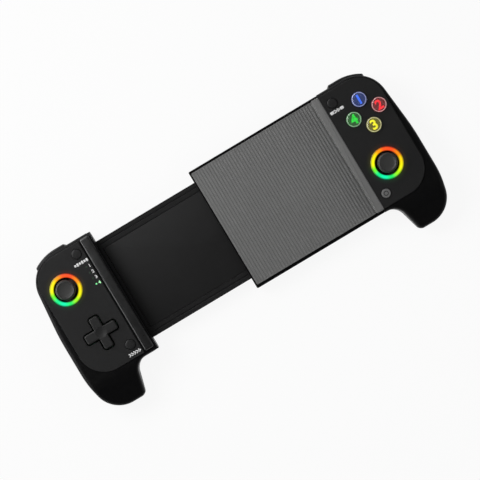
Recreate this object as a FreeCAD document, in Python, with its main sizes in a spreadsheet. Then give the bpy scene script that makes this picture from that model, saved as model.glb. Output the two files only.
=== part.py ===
import FreeCAD, Part
import math
import os
import re

import Sketcher

Vector = FreeCAD.Vector

# Driving dimensions, millimetres and degrees.
# X runs along the length, Y towards the shoulder buttons, Z out of the face.
SIZES = {
    # overall form
    "overall_length": 247.8,
    "overall_width": 103.3,
    "grip_length": 20.05,
    "shoulder_rise": 1.55,
    "left_case_width": 48.0,
    "right_case_width": 40.2,
    # side profile of both cases
    "bracket_lift": 4.5,
    "tray_height": 6.9,
    "cover_thick": 1.6,
    "phone_room": 11.2,
    "lip_thick": 1.2,
    "panel_rise": 0.6,
    "grip_front_drop": 8.9,
    "grip_back_rise": 5.5,
    "grip_front_start": 4.0,
    "grip_back_start": 7.0,
    "grip_front_round": 25.0,
    "grip_back_round": 30.0,
    "shoulder_back_rise": 4.5,
    "shoulder_back_run": 23.05,
    "shoulder_back_round": 60.0,
    "profile_past": 0.95,
    "wall": 2.2,
    "inner_wall": 2.0,
    "reveal_height": 0.4,
    "reveal_depth": 0.35,
    "front_round": 3.0,
    "back_round": 4.0,
    # plan outline of both cases
    "grip_width": 27.4,
    "grip_lean": 5.1,
    "grip_tip_round": 3.6,
    "grip_root_round": 8.5,
    "palm_round": 17.0,
    "palm_start": 3.6,
    "palm_lean": 4.8,
    "palm_bend": 60.0,
    "flank_round": 150.0,
    "flank_lean": 4.5,
    "flank_start": 46.0,
    "shoulder_round": 19.4,
    # slide plate and bracket
    "slide_side_margin": 7.1,
    "slide_thick": 4.7,
    "slide_gap": 0.3,
    "slide_root_room": 23.3,
    "slide_reach": 109.2,
    "slide_rail": 5.8,
    "slide_panel_thick": 1.0,
    "slide_recess_start": 2.0,
    "slide_recess_end": 3.0,
    "slide_groove": 0.7,
    "slide_groove_depth": 0.5,
    "cover_sink": 0.15,
    "bracket_start": 6.2,
    "tongue_end_in": 15.3,
    "tongue_wall": 1.5,
    "tongue_inset": 4.0,
    "tray_floor": 1.6,
    "tray_wall": 1.8,
    "bracket_round": 0.8,
    "brake_length": 16.0,
    "brake_place": 6.0,
    "brake_depth": 3.0,
    "pocket_start": 4.0,
    "pocket_end": 12.0,
    # ribbed phone pad
    "pad_margin_left": 1.05,
    "pad_margin_top": 1.6,
    "pad_margin_bottom": 2.05,
    "pad_thick": 1.1,
    "rib_height": 0.5,
    "rib_width": 1.0,
    "rib_pitch": 1.9,
    "rib_end": 0.4,
    "stop_bar_width": 5.1,
    "stop_bar_top": 26.6,
    "stop_bar_round": 1.6,
    # clamp bar and phone stop of the sliding case
    "clamp_bar_width": 6.0,
    "clamp_bar_inset": 1.2,
    "clamp_bar_foot": 0.7,
    "clamp_bar_rise": 1.6,
    "clamp_bar_corner": 1.2,
    "clamp_bar_round": 1.0,
    "bar_end_top": 1.6,
    "bar_end_bottom": 2.6,
    "stop_room_lift": 1.6,
    "stop_lift": 1.8,
    "lip_depth": 1.8,
    "phone_stop_thick": 1.2,
    # face panels
    "panel_side_margin": 4.6,
    "panel_bar_gap": 1.0,
    "panel_top_margin": 1.8,
    "panel_bottom_margin": 2.2,
    "panel_thick": 1.4,
    "panel_groove": 0.35,
    "panel_corner_top": 16.5,
    "panel_corner_bottom": 17.2,
    # shoulder buttons and triggers
    "shoulder_start_in": 8.7,
    "shoulder_end_in": 9.6,
    "shoulder_centre_in": 24.9,
    "shoulder_bow": 28.6,
    "shoulder_band": 4.7,
    "shoulder_end_band": 4.3,
    "trigger_back_room": 2.2,
    "shoulder_clear": 0.4,
    "shoulder_round_edge": 0.9,
    "bumper_height": 7.6,
    "shelf_thick": 1.2,
    "trigger_low": 2.0,
    "trigger_swing": 12.0,
    "trigger_swing_room": 1.0,
    "trigger_pin_radius": 0.9,
    "trigger_pin_below": 2.2,
    "trigger_pin_inset": 3.4,
    "trigger_pin_length": 13.6,
    "bumper_pin_radius": 0.8,
    "bumper_pin_inset": 2.7,
    "pin_fit": 0.05,
    "pin_wall": 3.4,
    "pin_boss_radius": 2.0,
    "spring_radius": 1.4,
    "spring_wire": 0.4,
    "spring_turns": 3,
    "spring_inset": 5.0,
    "spring_lift": 3.0,
    # boards, sticks, pads
    "board_thick": 1.2,
    "board_gap": 0.3,
    "board_inner_gap": 2.6,
    "board_outer_gap": 11.3,
    "board_neck_gap": 2.2,
    "board_bottom_gap": 7.0,
    "board_top_gap": 10.5,
    "board_tip_gap": 5.9,
    "port_board_depth": 13.0,
    "stick_bore": 14.9,
    "ring_outer": 20.0,
    "ring_proud": 0.25,
    "cap_diameter": 12.2,
    "cap_height": 3.4,
    "cap_lift": 3.4,
    "cap_dish": 8.6,
    "neck_radius": 2.6,
    "shaft_radius": 1.1,
    "shaft_fit": 0.05,
    "pivot_height": 3.0,
    "ball_radius": 6.4,
    "stick_box": 14.6,
    "stick_box_height": 4.6,
    "stick_box_wall": 1.0,
    "yoke_length": 11.6,
    "yoke_width": 8.4,
    "yoke_thick": 1.8,
    "yoke_pin_radius": 0.7,
    "rocker_size": 4.4,
    "rocker_room": 0.5,
    "end_gap": 0.1,
    "left_stick_side_share": 0.5994,
    "left_stick_drop_share": 0.2840,
    "right_stick_side_share": 0.4382,
    "right_stick_rise_share": 0.3060,
    # directional pad
    "cross_side_share": 0.4560,
    "cross_rise_share": 0.3164,
    "cross_span": 20.8,
    "cross_arm": 5.9,
    "cross_gap": 0.85,
    "cross_rise": 2.0,
    "cross_thick": 3.9,
    "cross_round": 0.9,
    "spider_depth": 2.6,
    "spider_pin_radius": 1.0,
    "post_place": 3.6,
    "post_thick": 1.2,
    "post_width": 3.2,
    "post_above": 0.6,
    "ear_below": 0.7,
    "spider_end": 0.4,
    "cross_corner": 1.2,
    "dish_radius": 12.0,
    "dish_depth": 0.6,
    # push buttons
    "button_gap": 0.22,
    "button_flange": 0.35,
    "button_room": 0.15,
    "flange_thick": 0.9,
    "flange_gap": 0.3,
    "dome_height": 1.6,
    "dome_gap": 0.3,
    "dome_foot": 2.4,
    "dome_crown": 1.4,
    "mat_thick": 0.6,
    "mat_corner": 0.5,
    "mat_inner_reach": 13.3,
    "mat_outer_reach": 11.7,
    "mat_reach_down": 10.0,
    "mat_top_gap": 12.1,
    "face_button": 9.1,
    "face_button_rise": 2.2,
    "face_button_round": 1.7,
    "face_travel": 1.0,
    "face_cross_in": 19.6,
    "face_cross_drop_share": 0.2950,
    "face_cross_step": 8.8,
    "small_button": 6.0,
    "small_button_rise": 0.9,
    "small_button_round": 0.5,
    "small_travel": 0.6,
    "home_button": 5.5,
    "select_from_edge": 12.9,
    "select_drop_share": 0.0979,
    "turbo_from_edge": 12.95,
    "turbo_rise_share": 0.1310,
    "start_from_edge": 5.7,
    "start_drop_share": 0.1114,
    "home_from_edge": 5.7,
    "home_rise_share": 0.1181,
    # indicator lights
    "led_from_edge": 11.7,
    "led_drop_share": 0.2178,
    "led_step": 3.87,
    "led_radius": 0.5,
    # screws
    "screw_radius": 1.0,
    "screw_fit": 0.05,
    "head_radius": 1.7,
    "head_thick": 1.3,
    "head_room": 0.2,
    "boss_wall": 1.1,
    "screw_seat": 6.5,
    "screw_end": 20.0,
    "screw_shoulder_x": 8.8,
    "screw_mat_gap": 4.0,
    "screw_grip_x": 9.3,
    "screw_grip_y": 5.0,
    "right_screw_root": 7.0,
    "left_screw_root": 15.8,
    "screw_root_y": 2.4,
    "screw_inner_x": 3.2,
    "screw_inner_y": 2.5,
    "slot_half_width": 0.2,
    "head_sink": 0.3,
    "bracket_screw_x": 5.0,
    "bracket_screw_y": 1.9,
    "root_screw_x": 6.0,
    "root_screw_y": 7.0,
    "root_screw_back": 11.75,
    "root_screw_lift": 0.4,
    "bridge_half_width": 3.5,
    "bridge_end": 4.0,
    # inside the cases
    "battery_screw_gap": 5.0,
    "battery_width": 17.0,
    "battery_thick": 7.0,
    "battery_up": 7.0,
    "battery_side_room": 1.5,
    "battery_lift": 0.3,
    "battery_round": 1.5,
    "motor_radius": 3.5,
    "motor_length": 13.0,
    "motor_up": 4.55,
    "motor_side": 19.5,
    "motor_lift": 2.6,
    "motor_shaft_radius": 0.5,
    "motor_shaft_reach": 3.6,
    "port_width": 9.0,
    "port_height": 3.2,
    "port_depth": 6.6,
    "port_wall": 0.35,
    "port_tongue_side": 1.2,
    "port_tongue_thick": 0.7,
    "port_tongue_set": 0.8,
    "port_side_room": 0.15,
}

# Places and sizes that follow from the driving dimensions.
DERIVED = {
    "outer_x": "overall_length / 2",
    "top_y": "overall_width / 2",
    "case_top": "top_y - shoulder_rise",
    "holder_height": "overall_width - shoulder_rise - grip_length",
    "case_bottom": "case_top - holder_height",
    "holder_middle": "(case_top + case_bottom) / 2",
    "left_inner": "outer_x - left_case_width",
    "right_inner": "outer_x - right_case_width",
    "tray_top": "bracket_lift + tray_height",
    "bracket_top": "tray_top + cover_thick",
    "lip_under": "bracket_top + phone_room",
    "front_z": "lip_under + lip_thick",
    "face_z": "front_z + panel_rise",
    "panel_seat": "face_z - panel_thick",
    "roof_under": "front_z - wall",
    "parting": "bracket_top",
    "slide_top": "holder_middle + slide_width / 2",
    "slide_bottom": "holder_middle - slide_width / 2",
    "slide_low": "bracket_lift + tray_floor + slide_gap",
    "slide_high": "slide_low + slide_thick",
    "tongue_top": "slide_top - tongue_inset",
    "tongue_bottom": "slide_bottom + tongue_inset",
    "guide_top": "slide_top + slide_gap + tongue_wall",
    "guide_bottom": "slide_bottom - slide_gap - tongue_wall",
    "tongue_end": "outer_x - tongue_end_in",
    "board_low": "bracket_top + board_gap",
    "board_high": "board_low + board_thick",
    "mat_high": "board_high + mat_thick",
    "pivot_z": "board_high + pivot_height",
    "flange_high": "roof_under - flange_gap",
    "flange_low": "flange_high - flange_thick",
    "panel_outer": "outer_x - panel_side_margin",
    "panel_top": "case_top - panel_top_margin",
    "panel_bottom": "case_bottom + panel_bottom_margin",
    "shoulder_y": "top_y - shoulder_bow",
    "shoulder_inner_y": "top_y - shoulder_band",
    "shoulder_end": "outer_x - shoulder_end_in",
    "port_x": "left_inner + lip_depth + port_width / 2 + port_side_room",
    "recess_top": "parting + shelf_thick + 2 * shoulder_clear + bumper_height",
    "bumper_low": "parting + shelf_thick + shoulder_clear",
    "bumper_high": "bumper_low + bumper_height",
    "trigger_high": "parting - shoulder_clear",
    "trigger_pin_z": "trigger_high - trigger_pin_below",
    "trigger_pin_y": "top_y - trigger_pin_inset",
    "bumper_pin_x": "shoulder_start + bumper_pin_inset",
    "bumper_pin_y": "top_y - bumper_pin_inset",
    "slide_width": "holder_height - 2 * slide_side_margin",
    "slide_root": "left_case_width - slide_root_room",
    "shoulder_back_start": "top_y - shoulder_back_run",
    "right_panel_edge": "right_inner",
    "left_panel_edge": "left_inner + clamp_bar_inset + clamp_bar_width + panel_bar_gap",
    "shoulder_start": "right_inner + shoulder_start_in",
    "shoulder_centre": "outer_x - shoulder_centre_in",
    "board_inner": "right_inner + board_inner_gap",
    "board_outer": "outer_x - board_outer_gap",
    "board_neck": "shoulder_start - board_neck_gap",
    "board_bottom": "case_bottom + board_bottom_gap",
    "board_top": "case_top - board_top_gap",
    "board_tip": "case_top - board_tip_gap",
    "left_board_inner": "left_panel_edge + board_inner_gap",
    "port_board_top": "case_bottom + port_board_depth",
    "left_stick_x": "left_panel_edge + left_stick_side_share * (panel_outer - left_panel_edge)",
    "left_stick_y": "case_top - left_stick_drop_share * holder_height",
    "right_stick_x": "right_panel_edge + right_stick_side_share * (panel_outer - right_panel_edge)",
    "right_stick_y": "case_bottom + right_stick_rise_share * holder_height",
    "cross_x": "left_panel_edge + cross_side_share * (panel_outer - left_panel_edge)",
    "cross_y": "case_bottom + cross_rise_share * holder_height",
    "face_cross_x": "outer_x - face_cross_in",
    "face_cross_y": "case_top - face_cross_drop_share * holder_height",
    "select_x": "left_inner + select_from_edge",
    "select_y": "case_top - select_drop_share * holder_height",
    "turbo_x": "left_inner + turbo_from_edge",
    "turbo_y": "case_bottom + turbo_rise_share * holder_height",
    "start_x": "right_inner + start_from_edge",
    "start_y": "case_top - start_drop_share * holder_height",
    "home_x": "right_inner + home_from_edge",
    "home_y": "case_bottom + home_rise_share * holder_height",
    "led_x": "left_inner + led_from_edge",
    "led_top_y": "case_top - led_drop_share * holder_height",
    "mat_inner": "face_cross_x - mat_inner_reach",
    "mat_outer": "face_cross_x + mat_outer_reach",
    "mat_low_y": "face_cross_y - mat_reach_down",
    "mat_high_y": "case_top - mat_top_gap",
    "screw_shoulder_y": "mat_low_y - screw_mat_gap",
    "battery_low_y": "case_bottom + battery_up",
    "motor_low_y": "motor_up - top_y",
    "spider_z": "face_z - panel_thick - spider_depth",
}

LEFT = -1
RIGHT = 1

doc = FreeCAD.newDocument("controller")
sheet = doc.addObject("Spreadsheet::Sheet", "Sizes")
finished = []


def fill_sheet():
    """Write every driving dimension into its own named cell."""
    for row, (name, number) in enumerate(SIZES.items(), start=1):
        sheet.set(f"A{row}", name)
        sheet.set(f"B{row}", str(number))
        sheet.setAlias(f"B{row}", name)
    doc.recompute()


def bound(text):
    """Turn a formula of plain names into one that reads the sheet."""
    def swap(match):
        word = match.group(0)
        if word in DERIVED:
            return "(" + bound(DERIVED[word]) + ")"
        if word in SIZES:
            return "Sizes." + word
        return word
    return re.sub(r"[a-z_][a-z_0-9]*", swap, str(text))


def value(text):
    """The number that a formula of plain names gives."""
    return float(sheet.evalExpression(bound(text)))


def bind(item, **formulas):
    """Tie properties of an object to formulas."""
    for name, text in formulas.items():
        item.setExpression(name.replace("__", "."), bound(text))


def move(item, x="0", y="0", z="0"):
    """Tie an object's place to formulas."""
    bind(item, Placement__Base__x=x, Placement__Base__y=y, Placement__Base__z=z)


def span(side, near, far):
    """Low and high X of a stretch that is given outwards from the middle."""
    if side == RIGHT:
        return (f"({near})", f"({far})")
    return (f"-({far})", f"-({near})")


def box(name, x, y, z):
    """A block between three pairs of low and high places."""
    item = doc.addObject("Part::Box", name)
    move(item, x[0], y[0], z[0])
    bind(item, Length=f"({x[1]}) - ({x[0]})", Width=f"({y[1]}) - ({y[0]})", Height=f"({z[1]}) - ({z[0]})")
    return item


TURNS = {
    "x": FreeCAD.Rotation(Vector(0, 1, 0), 90),
    "y": FreeCAD.Rotation(Vector(1, 0, 0), -90),
    "z": FreeCAD.Rotation(),
}


def rod(name, x, y, z, radius, length, along="z"):
    """A round bar that starts at a point and runs along one axis."""
    item = doc.addObject("Part::Cylinder", name)
    item.Placement.Rotation = TURNS[along]
    move(item, x, y, z)
    bind(item, Radius=radius, Height=length)
    return item


def ball(name, x, y, z, radius):
    item = doc.addObject("Part::Sphere", name)
    move(item, x, y, z)
    bind(item, Radius=radius)
    return item


def fuse(name, *items):
    item = doc.addObject("Part::MultiFuse", name)
    item.Shapes = list(items)
    return item


def cut(name, base, *tools):
    """Take every tool away from the base."""
    tool = tools[0]
    if len(tools) > 1:
        tool = fuse(name + "_tools", *tools)
    item = doc.addObject("Part::Cut", name)
    item.Base = base
    item.Tool = tool
    return item


def common(name, one, other):
    item = doc.addObject("Part::Common", name)
    item.Base = one
    item.Tool = other
    return item


def group(name, *items):
    """Several separate solids that share one name."""
    item = doc.addObject("Part::Compound", name)
    item.Links = list(items)
    return item


def keep(item, label):
    """Give a finished piece its own name."""
    item.Label = label
    finished.append(item)
    return item


def corner(before, here, after, radius):
    """Start, middle and end of the arc that rounds one corner."""
    back = (before - here).normalize()
    ahead = (after - here).normalize()
    half = back.getAngle(ahead) / 2
    run = radius / math.tan(half)
    middle = here + (back + ahead).normalize() * (radius / math.sin(half) - radius)
    return here + back * run, middle, here + ahead * run


def rounded_wire(corners):
    """A closed line through corners, each (x, y, radius), with tangent arcs at those with a radius."""
    points = [Vector(x, y, 0) for x, y, radius in corners]
    stops = []
    for index, (x, y, radius) in enumerate(corners):
        here = points[index]
        if radius > 0:
            after = points[(index + 1) % len(points)]
            stops.append(corner(points[index - 1], here, after, radius))
        else:
            stops.append((here, None, here))
    edges = []
    for index, (start, middle, end) in enumerate(stops):
        last = stops[index - 1][2]
        if (start - last).Length > 1e-6:
            edges.append(Part.makeLine(last, start))
        if middle is not None:
            edges.append(Part.Arc(start, middle, end).toShape())
    return Part.Wire(edges)


def outline(name, corners, side=RIGHT, plane="xy"):
    """A drawn outline whose corners are formulas; the left side is its mirror image."""
    numbers = [(side * value(x), value(y), value(r)) for x, y, r in corners]
    item = doc.addObject("Part::Feature", name)
    item.Shape = rounded_wire(numbers)
    if plane == "yz":
        item.Placement = FreeCAD.Placement(Vector(), FreeCAD.Rotation(Vector(1, 1, 1), 120))
    return item


def offset(name, source, distance):
    item = doc.addObject("Part::Offset2D", name)
    item.Source = source
    item.Join = "Intersection"
    bind(item, Value=distance)
    return item


def extrude(name, source, low, high, direction=(0, 0, 1)):
    """A solid drawn out of an outline between two heights along a direction."""
    item = doc.addObject("Part::Extrusion", name)
    item.Base = source
    item.DirMode = "Custom"
    item.Dir = Vector(*direction)
    item.Solid = True
    bind(item, LengthFwd=f"{high}", LengthRev=f"-({low})")
    return item


def plan_box(name, x, y, z, radius="0"):
    """A block with rounded corners in plan."""
    corners = [(x[0], y[0], radius), (x[1], y[0], radius), (x[1], y[1], radius), (x[0], y[1], radius)]
    return extrude(name, outline(name + "_outline", corners), z[0], z[1])


def middle_of(edge):
    return edge.valueAt((edge.FirstParameter + edge.LastParameter) / 2)


def rounded(name, base, radius, wanted):
    """Round the edges that a test picks out."""
    doc.recompute()
    size = value(radius)
    picked = [(index, size, size) for index, edge in enumerate(base.Shape.Edges, start=1) if wanted(edge)]
    item = doc.addObject("Part::Fillet", name)
    item.Base = base
    item.Edges = picked
    return item


def flat_at(height):
    """A test for the edges that lie at one height."""
    level = value(height)

    def wanted(edge):
        return all(abs(vertex.Point.z - level) < 1e-4 for vertex in edge.Vertexes) and abs(
            middle_of(edge).z - level) < 1e-4
    return wanted


def turned(name, profile):
    """A body turned from corners of (radius, height) formulas, the first and last on the axis."""
    body = doc.addObject("PartDesign::Body", name)
    sketch = body.newObject("Sketcher::SketchObject", name + "_sketch")
    plane = [item for item in body.Origin.OriginFeatures if item.Role == "XZ_Plane"][0]
    sketch.AttachmentSupport = [(plane, "")]
    sketch.MapMode = "FlatFace"
    count = len(profile)
    numbers = [(value(radius), value(height)) for radius, height in profile]
    for index in range(count):
        start = numbers[index]
        end = numbers[(index + 1) % count]
        sketch.addGeometry(Part.LineSegment(Vector(*start, 0), Vector(*end, 0)))
    for index in range(count):
        sketch.addConstraint(Sketcher.Constraint("Coincident", index, 2, (index + 1) % count, 1))
    for index, (radius, height) in enumerate(profile):
        for kind, number, text in (("DistanceX", numbers[index][0], radius),
                                   ("DistanceY", numbers[index][1], height)):
            place = sketch.addConstraint(Sketcher.Constraint(kind, -1, 1, index, 1, number))
            label = f"{kind.lower()}_{index}"
            sketch.renameConstraint(place, label)
            sketch.setExpression("Constraints." + label, bound(text))
    turn = body.newObject("PartDesign::Revolution", name + "_turn")
    turn.Profile = sketch
    turn.ReferenceAxis = (sketch, ["V_Axis"])
    turn.Angle = 360
    body.Tip = turn
    return body


def profile_corners():
    """Side profile shared by both cases, as (Y, Z, radius)."""
    top = "top_y + profile_past"
    tip = "-(top_y + profile_past)"
    return [
        (top, "front_z", "0"),
        ("case_bottom - grip_front_start", "front_z", "grip_front_round"),
        (tip, "front_z - grip_front_drop", "0"),
        (tip, "grip_back_rise", "0"),
        ("case_bottom - grip_back_start", "0", "grip_back_round"),
        ("shoulder_back_start", "0", "shoulder_back_round"),
        (top, "shoulder_back_rise", "0"),
    ]


def plan_corners(inner):
    """Plan outline of a case, from a plane inside its inner wall outwards."""
    return [
        (inner, "case_top", "0"),
        ("outer_x - flank_lean", "case_top", "shoulder_round"),
        ("outer_x", "case_top - flank_start", "flank_round"),
        ("outer_x", "case_bottom + palm_start", "palm_bend"),
        ("outer_x - palm_lean", "-top_y", "palm_round"),
        ("outer_x - grip_width", "-top_y", "grip_tip_round"),
        ("outer_x - grip_width - grip_lean", "case_bottom", "grip_root_round"),
        (inner, "case_bottom", "0"),
    ]


def case_blank(side, name, inner):
    """The whole outside of one case, rounded at front and back, and cut off square at its inner plane."""
    start = f"{inner} - back_round * 3"
    plan = outline(f"{name}_plan", plan_corners(start), side)
    profile = outline(f"{name}_profile", profile_corners(), plane="yz")
    upright = extrude(f"{name}_upright", plan, "-1", "front_z + 1")
    x = span(side, f"{start} - 1", "outer_x + 1")
    lengthwise = extrude(f"{name}_lengthwise", profile, x[0], x[1], (1, 0, 0))
    raw = common(f"{name}_raw", upright, lengthwise)
    doc.recompute()
    drawn = plan.Shape
    limit = value(start) + 0.5
    split = value("parting")

    def on_rim(edge, front):
        point = middle_of(edge)
        ends = [vertex.Point for vertex in edge.Vertexes]
        upright_edge = Vector(ends[0].x - ends[-1].x, ends[0].y - ends[-1].y, 0).Length < 1e-3
        if upright_edge or side * point.x < limit or (point.z > split) != front:
            return False
        return drawn.distToShape(Part.Vertex(Vector(point.x, point.y, 0)))[0] < 0.01

    faced = rounded(f"{name}_faced", raw, "front_round", lambda edge: on_rim(edge, True))
    backed = rounded(f"{name}_backed", faced, "back_round", lambda edge: on_rim(edge, False))
    away = box(f"{name}_away", span(side, f"{start} - 2", inner), ("-top_y - 2", "top_y + 2"),
               ("-2", "front_z + 2"))
    return plan, profile, cut(f"{name}_blank", backed, away)


def level_arc(side, x, y, end_x, end_y):
    """An arc that leaves a point level and falls to an end point."""
    run = end_x - x
    drop = y - end_y
    radius = (run * run + drop * drop) / (2 * drop)
    half = math.asin(run / radius) / 2
    middle = Vector(side * (x + radius * math.sin(half)), y - radius * (1 - math.cos(half)), 0)
    return Part.Arc(Vector(side * x, y, 0), middle, Vector(side * end_x, end_y, 0)).toShape()


def shoulder_outline(name, side, start, end, inner, end_inner, raised):
    """Plan of a shoulder piece: straight, then falling along arcs to an end that is square to X."""
    centre_x = value("shoulder_centre")
    radius = value("shoulder_bow") + raised
    outer = value("top_y") + raised
    end_outer = value("shoulder_y") + math.sqrt(radius ** 2 - (end - centre_x) ** 2)

    def point(x, y):
        return Vector(side * x, y, 0)

    edges = [
        Part.makeLine(point(start, outer), point(centre_x, outer)),
        level_arc(side, centre_x, outer, end, end_outer),
        Part.makeLine(point(end, end_outer), point(end, end_inner)),
        level_arc(side, centre_x, inner, end, end_inner),
        Part.makeLine(point(centre_x, inner), point(start, inner)),
        Part.makeLine(point(start, inner), point(start, outer)),
    ]
    item = doc.addObject("Part::Feature", name)
    item.Shape = Part.Wire(Part.__sortEdges__(edges))
    return item


def band_end_inner():
    """Inner Y of the shoulder pieces at their outer end."""
    run = value("shoulder_end - shoulder_centre")
    reach = math.sqrt(value("shoulder_bow") ** 2 - run ** 2)
    return value("shoulder_y") + reach - value("shoulder_end_band")


def shoulder_recess(side, name, grow):
    """The room that both shoulder pieces move in, grown by a wall where it shields the hollow."""
    wall = value(grow)
    room = value("trigger_back_room")
    clear = value("shoulder_clear")
    plan = shoulder_outline(f"{name}_recess_plan", side, value("shoulder_start") - clear - wall,
                            value("shoulder_end") + clear + wall, value("shoulder_inner_y") - room - wall,
                            band_end_inner() - room - wall * 1.2, 8)
    lower = extrude(f"{name}_recess_low", plan, "-2", f"parting + {grow}")
    upper = extrude(f"{name}_recess_high", plan, f"parting + shelf_thick - {grow}", f"recess_top + {grow}")
    return fuse(f"{name}_recess", lower, upper)


def screw_places(name, inner):
    """Where the case screws stand, as distances from the middle and Y."""
    return [
        ("outer_x - screw_shoulder_x", "screw_shoulder_y"),
        ("outer_x - screw_grip_x", "case_bottom - screw_grip_y"),
        (f"{inner} + {name}_screw_root", "case_bottom + screw_root_y"),
        (f"{inner} + screw_inner_x", "case_top - screw_inner_y"),
    ]


def screw(name, x, y, seat, end):
    """A pan-head screw driven from the back."""
    item = turned(name, [
        ("0", f"{seat} - head_thick"),
        ("head_radius * 0.8", f"{seat} - head_thick"),
        ("head_radius", f"{seat} - head_thick * 0.6"),
        ("head_radius", seat),
        ("screw_radius", seat),
        ("screw_radius", f"{end} - 0.5"),
        ("screw_radius * 0.4", end),
        ("0", end),
    ])
    move(item, x, y)
    return item


def screw_driver_slot(name, x, y, seat):
    """The crossed slot of a screw head."""
    size = "head_radius * 0.6"
    half = "slot_half_width"
    depth = (f"{seat} - head_thick - 1", f"{seat} - head_thick * 0.45")
    long_way = box(f"{name}_slot_x", (f"{x} - {size}", f"{x} + {size}"),
                   (f"{y} - {half}", f"{y} + {half}"), depth)
    cross_way = box(f"{name}_slot_y", (f"{x} - {half}", f"{x} + {half}"),
                    (f"{y} - {size}", f"{y} + {size}"), depth)
    return fuse(f"{name}_slot", long_way, cross_way)


def screws(label, places, seat, end):
    """All the like screws of one place, each with its slot."""
    made = []
    for index, (x, y) in enumerate(places, start=1):
        name = f"{label}_{index}"
        made.append(cut(f"{name}_cut", screw(name, x, y, seat, end), screw_driver_slot(name, x, y, seat)))
    keep(group(f"{label}_group", *made), label)


def panel_corners(gap, name):
    """Outline of a face panel, or of its seat with a gap round it."""
    top = f"panel_top + {gap}"
    bottom = f"panel_bottom - {gap}"
    outer = f"panel_outer + {gap}"
    edge = f"{name}_panel_edge"
    return [
        (edge, top, "0.4"),
        (outer, top, "panel_corner_top"),
        (outer, bottom, "panel_corner_bottom"),
        (edge, bottom, "0.4"),
    ]


def cross_shape(name, x, y, span_text, arm_text, low, high, radius):
    """A plus-shaped block."""
    reach = f"({span_text}) / 2"
    half = f"({arm_text}) / 2"
    points = [(half, reach, radius), (half, half, "0"), (reach, half, radius), (reach, f"-{half}", radius),
              (half, f"-{half}", "0"), (half, f"-{reach}", radius), (f"-{half}", f"-{reach}", radius),
              (f"-{half}", f"-{half}", "0"), (f"-{reach}", f"-{half}", radius), (f"-{reach}", half, radius),
              (f"-{half}", half, "0"), (f"-{half}", reach, radius)]
    drawn = outline(f"{name}_outline", [(f"{x} + {a}", f"{y} + {b}", r) for a, b, r in points])
    return extrude(name, drawn, low, high)


BUTTONS = [
    # label, side, x, y, kind
    ("button_top", RIGHT, "face_cross_x", "face_cross_y + face_cross_step", "face"),
    ("button_right", RIGHT, "face_cross_x + face_cross_step", "face_cross_y", "face"),
    ("button_bottom", RIGHT, "face_cross_x", "face_cross_y - face_cross_step", "face"),
    ("button_left", RIGHT, "face_cross_x - face_cross_step", "face_cross_y", "face"),
    ("button_start", RIGHT, "start_x", "start_y", "small"),
    ("button_home", RIGHT, "home_x", "home_y", "home"),
    ("button_select", LEFT, "select_x", "select_y", "small"),
    ("button_turbo", LEFT, "turbo_x", "turbo_y", "small"),
]

BUTTON_KINDS = {
    # diameter, rise above the face, rounding, travel
    "face": ("face_button", "face_button_rise", "face_button_round", "face_travel"),
    "small": ("small_button", "small_button_rise", "small_button_round", "small_travel"),
    "home": ("home_button", "small_button_rise", "small_button_round", "small_travel"),
}


def push_button(label, side, x, y, kind):
    """A round cap with a flange under the case and a plunger over its dome."""
    diameter, rise, edge, travel = BUTTON_KINDS[kind]
    top = f"face_z + {rise}"
    foot = f"mat_high + dome_height + dome_gap + {travel}"
    body = turned(f"{label}_body", [
        ("0", foot),
        (f"{diameter} * 0.25", foot),
        (f"{diameter} * 0.25", "flange_low"),
        (f"{diameter} / 2 + button_flange", "flange_low"),
        (f"{diameter} / 2 + button_flange", "flange_high"),
        (f"{diameter} / 2", "flange_high"),
        (f"{diameter} / 2", top),
        ("0", top),
    ])
    move(body, f"{side} * ({x})", y)
    keep(rounded(f"{label}_shape", body, edge, flat_at(top)), label)


def button_holes(side, name):
    """Bores for all the push buttons of one case."""
    holes = []
    for label, where, x, y, kind in BUTTONS:
        if where == side:
            radius = f"{BUTTON_KINDS[kind][0]} / 2 + button_gap"
            holes.append(rod(f"{label}_hole_{name}", f"{side} * ({x})", y, "roof_under - 1", radius,
                             "wall + panel_rise + 2"))
    return holes


def button_wells(side, name):
    """Room for the flanges and domes of the push buttons of one case."""
    wells = []
    for label, where, x, y, kind in BUTTONS:
        if where == side:
            radius = f"{BUTTON_KINDS[kind][0]} / 2 + button_flange + button_room"
            wells.append(rod(f"{label}_well_{name}", f"{side} * ({x})", y, "board_low - 0.2", radius,
                             "roof_under - board_low + 0.2"))
    return wells


def domes(side, wanted):
    """A rubber dome under each of the named push buttons."""
    made = []
    for label, where, x, y, kind in BUTTONS:
        if label in wanted:
            dome = doc.addObject("Part::Cone", f"{label}_dome")
            move(dome, f"{side} * ({x})", y, "mat_high")
            bind(dome, Radius1="dome_foot", Radius2="dome_crown", Height="dome_height")
            made.append(dome)
    return made


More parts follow.
